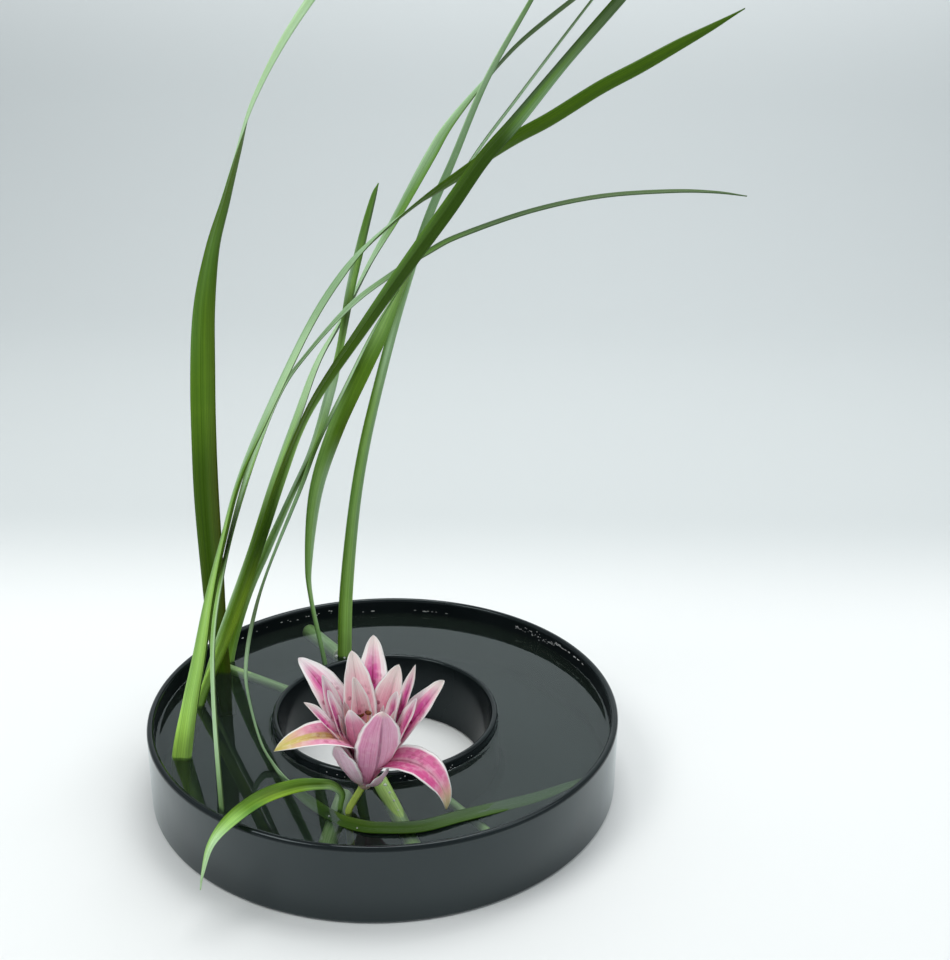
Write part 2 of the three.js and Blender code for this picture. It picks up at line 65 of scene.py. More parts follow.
Colour = tuple[float, float, float]
Place = tuple[float, float, float]
Knot = tuple[float, float, float, float, float]
Profile = list[tuple[float, float]]
Piece = bpy.types.Object
Material = bpy.types.Material
Mesh = bmesh.types.BMesh
Element = bmesh.types.BMVert | bmesh.types.BMEdge
Socket = bpy.types.NodeSocket
Value = Socket | float | Colour


def bowl_axis() -> Vector:
    """Find where the bowl's axis meets the table.

    Returns:
        The point in metres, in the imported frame.
    """
    low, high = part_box("bowl")
    return Vector(((low[0] + high[0]) / 2, (low[1] + high[1]) / 2, 0.0))


AXIS = bowl_axis()


def place(x: float, y: float, z: float) -> Vector:
    """Turn millimetres about the bowl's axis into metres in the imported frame."""
    return Vector((x, y, z)) * MM + AXIS


def cubic(a: float, b: float, c: float, d: float, f: float) -> float:
    """Follow a cubic between two knots.

    Args:
        a: Value at the knot before.
        b: Value at the first knot.
        c: Value at the second knot.
        d: Value at the knot after.
        f: Share of the way from the first knot to the second.

    Returns:
        The value there.
    """
    slope_b, slope_c = (c - a) / 2.0, (d - b) / 2.0
    bend = 3.0 * (c - b) - 2.0 * slope_b - slope_c
    twist = 2.0 * (b - c) + slope_b + slope_c
    return b + f * (slope_b + f * (bend + f * twist))


def smooth_value(values: list[float], t: float) -> float:
    """Read a list of knot values smoothly.

    Args:
        values: One value for each knot.
        t: Share of the way along the knots.

    Returns:
        The value there.
    """
    at = t * (len(values) - 1)
    span = min(int(at), len(values) - 2)
    knots = [values[min(max(span + k, 0), len(values) - 1)] for k in (-1, 0, 1, 2)]
    return cubic(*knots, at - span)


# Materials


class Shader:
    """A procedural material under construction, with short calls for its common nodes."""

    def __init__(self, name: str) -> None:
        """Start a material with a Principled surface.

        Args:
            name: Name of the material.
        """
        self.material = bpy.data.materials.new(name)
        self.material.use_nodes = True
        self.tree = self.material.node_tree
        self.nodes = self.tree.nodes
        self.body = self.nodes["Principled BSDF"]
        self.output = self.nodes["Material Output"]

    def link(self, source: Socket, target: Socket) -> None:
        """Join two sockets."""
        self.tree.links.new(source, target)

    def feed(self, socket: Socket, value: Value) -> None:
        """Link a socket or set a plain value on it.

        Args:
            socket: The input.
            value: A socket, a colour or a number.
        """
        if isinstance(value, Socket):
            self.link(value, socket)
        elif isinstance(value, tuple):
            socket.default_value = (*value, 1.0)
        else:
            socket.default_value = value

    def add(self, kind: str, **values: object) -> bpy.types.Node:
        """Add a node.

        Args:
            kind: Node type, without its ShaderNode prefix.
            **values: Attributes of the node.

        Returns:
            The new node.
        """
        node = self.nodes.new("ShaderNode" + kind)
        for key, value in values.items():
            setattr(node, key, value)
        return node

    def math(self, operation: str, a: Value, b: Value = 0.0, c: Value = 0.0) -> Socket:
        """Add a Math node fed by numbers or sockets.

        Args:
            operation: Name of the operation.
            a: First value or socket.
            b: Second value or socket.
            c: Third value or socket.

        Returns:
            The result's socket.
        """
        node = self.add("Math", operation=operation)
        for socket, value in zip(node.inputs, (a, b, c)):
            self.feed(socket, value)
        return node.outputs[0]

    def span(self, value: Socket, low: float, high: float, start: float = 0.0, end: float = 1.0) -> Socket:
        """Map a value smoothly from one range to another.

        Args:
            value: Socket to read.
            low: Value that gives start.
            high: Value that gives end.
            start: Result at low.
            end: Result at high.

        Returns:
            The result's socket.
        """
        node = self.add("MapRange", interpolation_type="SMOOTHSTEP")
        self.link(value, node.inputs[0])
        for index, number in enumerate((low, high, start, end), start=1):
            node.inputs[index].default_value = number
        return node.outputs[0]

    def mix(self, share: Value, first: Value, second: Value, blend: str = "MIX") -> Socket:
        """Mix two colours.

        Args:
            share: Share of the second colour, a number or a socket.
            first: First colour or socket.
            second: Second colour or socket.
            blend: Blend type.

        Returns:
            The mixed colour's socket.
        """
        node = self.add("Mix", data_type="RGBA", blend_type=blend)
        for index, value in ((0, share), (6, first), (7, second)):
            self.feed(node.inputs[index], value)
        return node.outputs[2]

    def ramp(self, value: Socket, stops: list[tuple[float, Colour]]) -> Socket:
        """Colour a value by stops.

        Args:
            value: Socket to read.
            stops: Position and colour of each stop.

        Returns:
            The colour's socket.
        """
        node = self.add("ValToRGB")
        elements = node.color_ramp.elements
        while len(elements) < len(stops):
            elements.new(0.5)
        for element, (position, colour) in zip(elements, stops):
            element.position = position
            element.color = (*colour, 1.0)
        self.link(value, node.inputs[0])
        return node.outputs[0]

    def noise(self, vector: Socket, scale: float, detail: float = 3.0) -> Socket:
        """Add a noise pattern.

        Args:
            vector: Place that it reads.
            scale: Its scale.
            detail: Its detail.

        Returns:
            The pattern's value.
        """
        node = self.add("TexNoise")
        node.inputs["Scale"].default_value = scale
        node.inputs["Detail"].default_value = detail
        self.link(vector, node.inputs["Vector"])
        return node.outputs[0]

    def blade_axes(self) -> tuple[Socket, Socket, Socket]:
        """Read a blade's own directions from its UV map.

        Returns:
            The place across, from 0 to 1, the place along, from 0 to 1, and the face: 0 for
            the front and 1 for the back.
        """
        split = self.add("SeparateXYZ")
        self.link(self.add("UVMap", uv_map="blade").outputs[0], split.inputs[0])
        wide, along = split.outputs[0], split.outputs[1]
        back = self.math("GREATER_THAN", wide, 1.0)
        folded = self.math("PINGPONG", wide, 1.0)
        return folded, along, back

    def stripes(self, across: Socket, along: Socket, count: float, stretch: float) -> Socket:
        """Make fine lines that run along a blade.

        Args:
            across: Place across.
            along: Place along.
            count: Lines from edge to edge.
            stretch: Changes of a line over the blade's length.

        Returns:
            The pattern's value.
        """
        return self.noise(self.stretched(across, along, count, stretch), 1.0, 2.0)

    def stretched(self, across: Socket, along: Socket, count: float, rows: float) -> Socket:
        """Stretch a blade's own directions into a pattern's place.

        Args:
            across: Place across.
            along: Place along.
            count: Repeats from edge to edge.
            rows: Repeats from foot to tip.

        Returns:
            The place's vector.
        """
        join = self.add("CombineXYZ")
        self.link(self.math("MULTIPLY", across, count), join.inputs[0])
        self.link(self.math("MULTIPLY", along, rows), join.inputs[1])
        return join.outputs[0]

    def own_place(self) -> Socket:
        """Read the place on the piece itself."""
        return self.add("TexCoord").outputs["Object"]

    def dress(self, colour: Socket, roughness: Socket) -> None:
        """Give the surface its colour and roughness patterns."""
        self.link(colour, self.body.inputs["Base Color"])
        self.link(roughness, self.body.inputs["Roughness"])

    def blend(self, share: Value, first: bpy.types.Node, second: bpy.types.Node) -> bpy.types.Node:
        """Blend two surfaces.

        Args:
            share: Share of the second surface, a number or a socket.
            first: First surface.
            second: Second surface.

        Returns:
            The blended surface.
        """
        node = self.add("MixShader")
        self.feed(node.inputs[0], share)
        self.link(first.outputs[0], node.inputs[1])
        self.link(second.outputs[0], node.inputs[2])
        return node

    def relief(self, height: Socket, depth: float, strength: float) -> Socket:
        """Turn a height pattern into a bumped normal.

        Args:
            height: Height pattern.
            depth: Depth of the bumps in metres.
            strength: Share of the depth that shows.

        Returns:
            The normal.
        """
        node = self.add("Bump")
        node.inputs["Strength"].default_value = strength
        node.inputs["Distance"].default_value = depth
        self.link(height, node.inputs["Height"])
        return node.outputs[0]

    def bump(self, height: Socket, depth: float, strength: float) -> None:
        """Bump the surface by a height pattern, with its depth in metres and the share that shows."""
        self.link(self.relief(height, depth, strength), self.body.inputs["Normal"])

    def set(self, **values: object) -> None:
        """Set plain values on the Principled surface, by socket name with underscores."""
        for key, value in values.items():
            self.body.inputs[key.replace("_", " ")].default_value = value


@dataclass(frozen=True)
class Tone:
    """A leaf's colours from its left edge over its middle to its right edge, at one place along it, with
    painted light and shade in them.
    """

    at: float
    left: Colour
    middle: Colour
    right: Colour


@dataclass(frozen=True)
class LeafFinish:
    """Satin leaf with parallel veins and tones that change along it. The tones hold painted light and shade
    besides the leaf's own greens, and painted shade darkens it where it is under water.
    """

    name: str
    back: Colour
    tones: tuple[Tone, ...]
    roughness: float = 0.46
    vein: float = 0.55
    underwater_shade_share: float = 0.9
    underwater_shade_tone: Colour = (0.02, 0.04, 0.004)
    band_tone: Colour = (1.5, 1.35, 1.3)
    line_tone: Colour = (0.4, 0.55, 0.3)
    blotch_tone: Colour = (0.6, 0.75, 0.4)
    bands: float = 9.0
    lines: float = 30.0
    waterline: float = 0.003
    depth: float = 0.00022

    def make(self) -> Material:
        """Build the material.

        Returns:
            The material, which reads the leaf's own UV map.
        """
        s = Shader(self.name)
        across, along, back = s.blade_axes()
        # Painted light and shade: besides the leaf's greens, the tones carry lit and shaded halves, brighter
        # feet where the light is dim, and painted highlights.
        colour = self.tone_colour(s, across, self.tones[0])
        for before, tone in zip(self.tones, self.tones[1:]):
            share = s.span(along, before.at, tone.at)
            colour = s.mix(share, colour, self.tone_colour(s, across, tone))
        colour = s.mix(back, colour, self.back)
        lines = s.stripes(across, along, self.lines, 1.4)
        bands = s.stripes(across, along, self.bands, 0.9)
        colour = s.mix(s.span(bands, 0.42, 0.62, 0.0, self.vein), colour, self.band_tone, "MULTIPLY")
        colour = s.mix(s.span(lines, 0.44, 0.62, 0.0, self.vein), colour, self.line_tone, "MULTIPLY")
        place_on = s.own_place()
        blotch = s.noise(place_on, 45.0, 4.0)
        colour = s.mix(s.span(blotch, 0.35, 0.7, 0.0, 0.25), colour, self.blotch_tone, "MULTIPLY")
        height = s.add("SeparateXYZ")
        s.link(place_on, height.inputs[0])
        # Painted shade: below the water line the leaf darkens, for the light that the water takes.
        top = WATER_LEVEL * MM
        under = s.span(height.outputs[2], top - self.waterline, top, self.underwater_shade_share, 0.0)
        colour = s.mix(under, colour, self.underwater_shade_tone)
        fine = s.noise(place_on, 900.0, 2.0)
        s.dress(colour, s.span(fine, 0.3, 0.7, self.roughness - 0.07, self.roughness + 0.09))
        s.bump(s.math("ADD", lines, bands), self.depth, 0.8)
        s.set(Specular_IOR_Level=0.25, Specular_Tint=(0.85, 1.0, 0.62, 1.0))
        return s.material

    @staticmethod
    def tone_colour(s: Shader, across: Socket, tone: Tone) -> Socket:
        """Colour one tone from edge to edge."""
        return s.ramp(across, [(0.08, tone.left), (0.5, tone.middle), (0.92, tone.right)])


@dataclass(frozen=True)
class PetalPatterns:
    """Places and patterns that the colours of one petal share."""

    across: Socket
    along: Socket
    middle: Socket
    streak: Socket
    reach: Socket
    margin: Socket
    groove: Socket


@dataclass(frozen=True)
class PetalFinish:
    """Lily petal: a band along its middle, pale margins, a groove and dark spots near its foot. Painted
    shade, partly its own colour, deepens its foot and its groove; painted shade darkens the right half of
    its outside, and a white edge line is partly painted highlight.
    """

    name: str
    body: Colour
    band: Colour
    margin: Colour
    tip: Colour
    outside: Colour
    outside_right_shade: Colour = (0.5, 0.1, 0.28)
    side: Colour = (0.62, 0.06, 0.26)
    side_share: float = 0.0
    foot: Colour = (0.56, 0.04, 0.16)
    band_width: float = 0.3
    band_from: float = 0.3
    margin_from: float = 0.3
    tip_from: float = 0.8
    groove: float = 0.5
    spots: float = 0.9
    rim: float = 0.95
    groove_shade_tone: Colour = (0.36, 0.03, 0.11)
    back_groove_shade_tone: Colour = (0.42, 0.12, 0.24)
    spot_tone: Colour = (0.3, 0.006, 0.07)
    vein_tone: Colour = (0.72, 0.26, 0.42)
    pale_edge_highlight_tone: Colour = (1.0, 0.96, 0.94)
    streaks: float = 13.0
    veins: float = 40.0
    depth: float = 0.0006

    def make(self) -> Material:
        """Build the material.

        Returns:
            The material, which reads the petal's own UV map.
        """
        s = Shader(self.name)
        across, along, back = s.blade_axes()
        at = self.patterns(s, across, along)
        colour = s.mix(back, self.inner_colour(s, at), self.outer_colour(s, at))
        colour = s.mix(s.span(along, self.tip_from, 0.99), colour, self.tip)
        near_tip = s.math("ADD", along, s.math("MULTIPLY", at.reach, 0.3))
        white = s.math("MAXIMUM", at.margin, s.span(near_tip, self.tip_from, 1.05))
        veins = s.stripes(across, along, self.veins, 1.3)
        tinted = s.math("SUBTRACT", 1.0, s.math("MULTIPLY", white, 0.6))
        veined = s.math("MULTIPLY", s.span(veins, 0.45, 0.62, 0.0, 0.4), tinted)
        colour = s.mix(veined, colour, self.vein_tone, "MULTIPLY")
        # A white line along the edge: partly the petal's pale margin, partly a painted highlight that lifts
        # its thin, shaded edge.
        rim = s.math("MULTIPLY", s.span(at.middle, 0.405, 0.465), s.span(along, 0.12, 0.3))
        colour = s.mix(s.math("MULTIPLY", rim, self.rim), colour, self.pale_edge_highlight_tone)
        place_on = s.own_place()
        mottle = s.noise(place_on, 260.0, 4.0)
        colour = s.mix(s.span(mottle, 0.45, 0.7, 0.0, 0.2), colour, self.margin)
        grain = s.noise(place_on, 1400.0, 2.0)
        s.dress(colour, s.span(grain, 0.3, 0.7, 0.36, 0.54))
        height = s.math("ADD", s.math("MULTIPLY", veins, 0.9), s.math("MULTIPLY", at.streak, 0.9))
        s.bump(s.math("SUBTRACT", height, s.math("MULTIPLY", at.groove, 1.6)), self.depth, 0.9)
        s.set(Specular_IOR_Level=0.35, Subsurface_Weight=0.12, Subsurface_Scale=0.0015)
        s.set(Subsurface_Radius=(1.0, 0.45, 0.5))
        return s.material

    def patterns(self, s: Shader, across: Socket, along: Socket) -> PetalPatterns:
        """Lay out the patterns that the petal's colours share.

        Args:
            s: The petal's shader.
            across: Place across.
            along: Place along.

        Returns:
            The patterns.
        """
        middle = s.math("ABSOLUTE", s.math("SUBTRACT", across, 0.5))
        streak = s.stripes(across, along, self.streaks, 1.6)
        reach = s.math("ADD", middle, s.math("MULTIPLY", s.math("SUBTRACT", streak, 0.5), 0.26))
        margin = s.span(reach, self.margin_from, self.margin_from + 0.15)
        groove = s.math("MULTIPLY", s.span(middle, 0.008, 0.045, self.groove, 0.0),
                        s.span(along, 0.8, 0.97, 1.0, 0.2))
        return PetalPatterns(across, along, middle, streak, reach, margin, groove)

    def inner_colour(self, s: Shader, at: PetalPatterns) -> Socket:
        """Colour the side that faces the flower's heart.

        Args:
            s: The petal's shader.
            at: Its patterns.

        Returns:
            The colour.
        """
        band = s.math("MULTIPLY", s.span(at.reach, self.band_width * 0.35, self.band_width, 1.0, 0.0),
                      s.span(at.along, self.band_from - 0.15, self.band_from + 0.15))
        colour = s.mix(band, self.body, self.band)
        # Partly the petal's own deeper base, partly painted shade where the petals crowd round the heart:
        # the colour deepens towards the foot.
        colour = s.mix(s.span(at.along, 0.1, 0.4, 0.85, 0.0), colour, self.foot)
        colour = s.mix(at.margin, colour, self.margin)
        colour = s.mix(s.span(at.across, 0.4, 0.8, 0.0, self.side_share), colour, self.side)
        # Partly the petal's own darker midrib, partly painted shade in the crease: the colour darkens along
        # the groove.
        colour = s.mix(at.groove, colour, self.groove_shade_tone)
        return s.mix(self.spot_share(s, at), colour, self.spot_tone)

    def outer_colour(self, s: Shader, at: PetalPatterns) -> Socket:
        """Colour the side that faces away from the flower's heart.

        Args:
            s: The petal's shader.
            at: Its patterns.

        Returns:
            The colour.
        """
        colour = s.mix(s.span(at.reach, 0.38, 0.5), self.outside, self.margin)
        # Painted shade: the outside darkens towards its right half, the side away from the key light.
        colour = s.mix(s.span(at.across, 0.1, 0.9), colour, s.mix(0.5, colour, self.outside_right_shade))
        # Partly the petal's own darker midrib, partly painted shade in the crease: the outside darkens along
        # the groove.
        return s.mix(s.math("MULTIPLY", at.groove, 0.8), colour, self.back_groove_shade_tone)

    def spot_share(self, s: Shader, at: PetalPatterns) -> Socket:
        """Scatter dark spots over the lower part of the petal, away from its margin.

        Args:
            s: The petal's shader.
            at: Its patterns.

        Returns:
            The spots' share.
        """
        cells = s.add("TexVoronoi", feature="F1")
        cells.inputs["Scale"].default_value = 1.0
        cells.inputs["Randomness"].default_value = 0.9
        s.link(s.stretched(at.across, at.along, 5.0, 17.0), cells.inputs["Vector"])
        dots = s.span(cells.outputs["Distance"], 0.2, 0.36, 1.0, 0.0)
        low = s.math("MULTIPLY", s.span(at.along, 0.2, 0.3), s.span(at.along, 0.6, 0.8, 1.0, 0.0))
        inside = s.span(at.middle, 0.26, 0.42, self.spots, 0.0)
        return s.math("MULTIPLY", s.math("MULTIPLY", dots, low), inside)


@dataclass(frozen=True)
class LacquerFinish:
    """Black lacquer with a deep clear coat and the faintest unevenness."""

    name: str = "black_lacquer"
    colour: Colour = (0.004, 0.006, 0.007)
    rough: float = 0.06
    gloss: float = 0.5
    coat: float = 0.35
    cloud_tone: Colour = (0.007, 0.01, 0.011)

    def make(self) -> Material:
        """Build the material.

        Returns:
            The material, which reads the place on the piece.
        """
        s = Shader(self.name)
        place_on = s.own_place()
        cloud = s.span(s.noise(place_on, 14.0, 3.0), 0.3, 0.7)
        wear = s.span(s.noise(place_on, 60.0, 4.0), 0.3, 0.7, self.rough, self.rough + 0.04)
        s.dress(s.mix(cloud, self.colour, self.cloud_tone), wear)
        s.bump(s.noise(place_on, 22.0, 1.0), 0.00012, 0.5)
        s.set(Specular_IOR_Level=self.gloss, Specular_Tint=(0.82, 0.97, 1.0, 1.0))
        s.set(Coat_Weight=self.coat, Coat_Roughness=0.03, Coat_IOR=1.45, Coat_Tint=(0.85, 0.97, 1.0, 1.0))
        return s.material


@dataclass(frozen=True)
class WaterFinish:
    """Still water: clear from above, and a mirror at a low angle, with the faintest swell."""

    name: str = "still_water"
    milk: float = 0.045
    deep_tint: Colour = (0.84, 0.9, 0.86)
    clear_tint: Colour = (0.88, 0.92, 0.89)
    veil_tone: Colour = (0.15, 0.22, 0.18)
    mirror_tone: Colour = (0.85, 0.93, 0.95)
    mirror_rough: float = 0.015
    index: float = 1.48

    def make(self) -> Material:
        """Build the material.

        Returns:
            The material, which reads the place on the piece.
        """
        s = Shader(self.name)
        place_on = s.own_place()
        clear, veil, mirror = s.add("BsdfTransparent"), s.add("BsdfDiffuse"), s.add("BsdfGlossy")
        tint = s.mix(s.span(s.noise(place_on, 9.0, 2.0), 0.3, 0.7), self.deep_tint, self.clear_tint)
        s.feed(clear.inputs["Color"], tint)
        s.feed(veil.inputs["Color"], self.veil_tone)
        s.feed(mirror.inputs["Color"], self.mirror_tone)
        s.feed(mirror.inputs["Roughness"], self.mirror_rough)
        s.feed(mirror.inputs["Normal"], s.relief(s.noise(place_on, 18.0, 1.0), 0.0006, 0.25))
        grazing = s.add("Fresnel")
        s.feed(grazing.inputs["IOR"], self.index)
        surface = s.blend(grazing.outputs[0], s.blend(self.milk, clear, veil), mirror)
        s.link(surface.outputs[0], s.output.inputs["Surface"])
        s.nodes.remove(s.body)
        return s.material


@dataclass(frozen=True)
class StalkFinish:
    """Fresh cut stalk: long fibres over a green that pales towards its cut ends."""

    name: str
    light: Colour
    dark: Colour
    cut: Colour = (0.62, 0.66, 0.36)
    fibres: float = 34.0

    def make(self) -> Material:
        """Build the material.

        Returns:
            The material, which reads the stalk's own UV map.
        """
        s = Shader(self.name)
        across, along, _ = s.blade_axes()
        fibre = s.stripes(across, along, self.fibres, 3.0)
        colour = s.mix(s.span(fibre, 0.35, 0.68), self.dark, self.light)
        ends = s.math("ABSOLUTE", s.math("SUBTRACT", along, 0.5))
        colour = s.mix(s.span(ends, 0.47, 0.5, 0.0, 0.8), colour, self.cut)
        place_on = s.own_place()
        colour = s.mix(s.span(s.noise(place_on, 80.0), 0.4, 0.7, 0.0, 0.4), colour, self.dark)
        s.dress(colour, s.span(fibre, 0.3, 0.7, 0.38, 0.5))
        s.bump(fibre, 0.0003, 0.7)
        return s.material


@dataclass(frozen=True)
class GrainFinish:
    """Matt or moist plant tissue with a fine grain, for anthers, pistil and receptacle."""

    name: str
    light: Colour
    dark: Colour
    grain: float = 1500.0
    roughness: float = 0.8

    def make(self) -> Material:
        """Build the material.

        Returns:
            The material, which reads the place on the piece.
        """
        s = Shader(self.name)
        place_on = s.own_place()
        grain = s.noise(place_on, self.grain, 4.0)
        colour = s.mix(s.span(grain, 0.35, 0.65), self.dark, self.light)
        s.dress(colour, s.span(grain, 0.3, 0.7, self.roughness - 0.1, self.roughness))
        s.bump(grain, 0.0004, 0.9)
        return s.material


@dataclass(frozen=True)
class DropletFinish:
    """Water drop, partly clear and bright on its lit side; its near-white colour is a painted glint."""

    name: str = "droplet_glint"

    def make(self) -> Material:
        """Build the material.

        Returns:
            The material, which reads the place on the piece.
        """
        s = Shader(self.name)
        place_on = s.own_place()
        s.link(s.span(s.noise(place_on, 300.0), 0.3, 0.7, 0.01, 0.04), s.body.inputs["Roughness"])
        # Painted glint: a near-white base colour under only partial transmission makes each drop read as a
        # bright speck.
        s.set(Base_Color=(0.96, 0.98, 0.97, 1.0), Transmission_Weight=0.55, IOR=1.33)
        return s.material


# Mesh helpers


@dataclass
class Station:
    """One cross-section of a blade: its place, directions and sizes, in millimetres."""

    point: Vector
    tangent: Vector
    normal: Vector
    width: float
    thickness: float
    cup: float
    along: float
    fold: float = 0.0
    ruffle: float = 0.0
    seed: float = 0.0


CREASE_REACH = 0.22
WAVES = 21.0
WAVE_SHIFT = 1.9


def blade_offset(s: Station, u: float, face: float) -> tuple[float, float]:
    """Shape a blade's cross-section.

    Args:
        s: The station.
        u: Place across, from -1 to 1.
        face: 1 on the front and -1 on the back.

    Returns:
        Offsets across and along the normal, in millimetres.
    """
    half = s.width / 2.0
    bow = 1.0 - u * u
    dish = -s.cup * half * (bow - 0.5)
    crease = -s.fold * half * max(0.0, 1.0 - abs(u) / CREASE_REACH) ** 2
    phase = s.along * WAVES + s.seed + (WAVE_SHIFT if u > 0 else 0.0)
    wave = s.ruffle * abs(u) ** 3 * math.sin(phase)
    thick = s.thickness / 2.0 * max(1.0 - abs(u) ** 5, 0.0) ** 0.5
    return u * half, dish + crease + wave + face * thick


def seal(bm: Mesh) -> None:
    """Merge doubled vertices, close open ends and turn the faces outwards.

    Args:
        bm: The mesh.
    """
    bmesh.ops.remove_doubles(bm, verts=bm.verts[:], dist=WELD)
    open_edges = [edge for edge in bm.edges if edge.is_boundary]
    bmesh.ops.holes_fill(bm, edges=open_edges, sides=0)
    bmesh.ops.recalc_face_normals(bm, faces=bm.faces[:])


def blade_mesh(stations: list[Station], lanes: int) -> Mesh:
    """Wrap a grid round a row of cross-sections into one closed blade.

    Args:
        stations: The cross-sections, from foot to tip.
        lanes: Faces from edge to edge on each side.

    Returns:
        The blade, with a UV map named blade.
    """
    bm = bmesh.new()
    last = len(stations) - 1
    bmesh.ops.create_grid(bm, x_segments=2 * lanes, y_segments=last, size=1.0)
    uv = bm.loops.layers.uv.new("blade")
    for vert in bm.verts:
        vert.co.x = round((vert.co.x + 1.0) * lanes)
        vert.co.y = round((vert.co.y + 1.0) / 2.0 * last)
    for face in bm.faces:
        for loop in face.loops:
            k, i = loop.vert.co.x, loop.vert.co.y
            loop[uv].uv = (k / lanes, stations[int(i)].along)
    for vert in bm.verts:
        k, i = vert.co.x, int(vert.co.y)
        front = k <= lanes
        u = -1.0 + 2.0 * k / lanes if front else 3.0 - 2.0 * k / lanes
        s = stations[i]
        across, out = blade_offset(s, u, 1.0 if front else -1.0)
        side = s.tangent.cross(s.normal).normalized()
        spot = s.point + side * across + s.normal * out
        vert.co = place(*spot)
    seal(bm)
    return bm


def finish_piece(bm: Mesh, name: str, materials: list[Material],
                 replaced: tuple[str, ...] = (), smooth: bool = True) -> Piece:
    """Make an object of a mesh and fix it to the frame.

    Args:
        bm: The mesh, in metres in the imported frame. It is freed.
        name: Name of the piece.
        materials: Its materials, by material index.
        replaced: CAD nodes that it stands for.
        smooth: Whether its faces are shaded smooth.

    Returns:
        The new object.
    """
    for face in bm.faces:
        face.smooth = smooth
    mesh = bpy.data.meshes.new(name)
    bm.to_mesh(mesh)
    bm.free()
    for material in materials:
        mesh.materials.append(material)
    piece = bpy.data.objects.new(name, mesh)
    bpy.context.scene.collection.objects.link(piece)
    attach(piece, BODY)
    if replaced:
        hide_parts(*replaced)
    LOG.info("%s: %d faces", name, len(mesh.polygons))
    return piece


def rod_mesh(start: Vector, end: Vector, radius: float, tip: float, rings: int = 8, sides: int = 20) -> Mesh:
    """Make a round rod between two points, in millimetres, with rounded ends.

    Args:
        start: Middle of its first end.
        end: Middle of its last end.
        radius: Radius at the first end.
        tip: Radius at the last end.
        rings: Faces along it.
        sides: Faces round it.

    Returns:
        The rod, with a UV map named blade: round, and along.
    """
    direction = (end - start).normalized()
    normal = direction.orthogonal().normalized()
    bm = bmesh.new()
    bmesh.ops.create_grid(bm, x_segments=sides, y_segments=rings, size=1.0)
    uv = bm.loops.layers.uv.new("blade")
    for face in bm.faces:
        for loop in face.loops:
            loop[uv].uv = ((loop.vert.co.x + 1.0) / 2.0, (loop.vert.co.y + 1.0) / 2.0)
    for vert in bm.verts:
        share = (vert.co.y + 1.0) / 2.0
        turn = Matrix.Rotation((vert.co.x + 1.0) * math.pi, 3, direction)
        reach = radius + (tip - radius) * share
        vert.co = place(*(start.lerp(end, share) + turn @ normal * reach))
    seal(bm)
    caps = [edge for edge in bm.edges if any(len(face.verts) > 4 for face in edge.link_faces)]
    bmesh.ops.bevel(bm, geom=caps, offset=min(radius, tip) * BEVEL_SHARE * MM, affect="EDGES", segments=2,
                    profile=0.5, material=-1)
    return bm


def ball_mesh(centre: Vector, radii: Place, detail: int = 3, turn: Matrix | None = None) -> Mesh:
    """Make a round body with three radii, in millimetres.

    Args:
        centre: Its middle.
        radii: Its radii before it is turned.
        detail: Subdivisions of its surface.
        turn: Rotation about its middle, if any.

    Returns:
        The body.
    """
    bm = bmesh.new()
    bmesh.ops.create_icosphere(bm, subdivisions=detail, radius=1.0)
    bmesh.ops.scale(bm, vec=Vector(radii) * MM, verts=bm.verts[:])
    if turn is not None:
        bmesh.ops.rotate(bm, cent=(0.0, 0.0, 0.0), matrix=turn, verts=bm.verts[:])
    bmesh.ops.translate(bm, vec=place(*centre), verts=bm.verts[:])
    return bm


def gather(parts: list[Mesh], indices: list[int] | None = None) -> Mesh:
    """Join several meshes into one.

    Args:
        parts: The meshes. They are freed.
        indices: Material index of each.

    Returns:
        The joined mesh.
    """
    whole = bmesh.new()
    whole.loops.layers.uv.new("blade")
    for number, part in enumerate(parts):
        if indices:
            for face in part.faces:
                face.material_index = indices[number]
        scratch = bpy.data.meshes.new("scratch")
        part.to_mesh(scratch)
        part.free()
        whole.from_mesh(scratch)
        bpy.data.meshes.remove(scratch)
    return whole


# Bowl and water


class BowlSide(Enum):
    """Sides of the bowl, by material index."""

    OUTSIDE = 0
    TROUGH = 1
    BORE = 2
    CROWN = 3


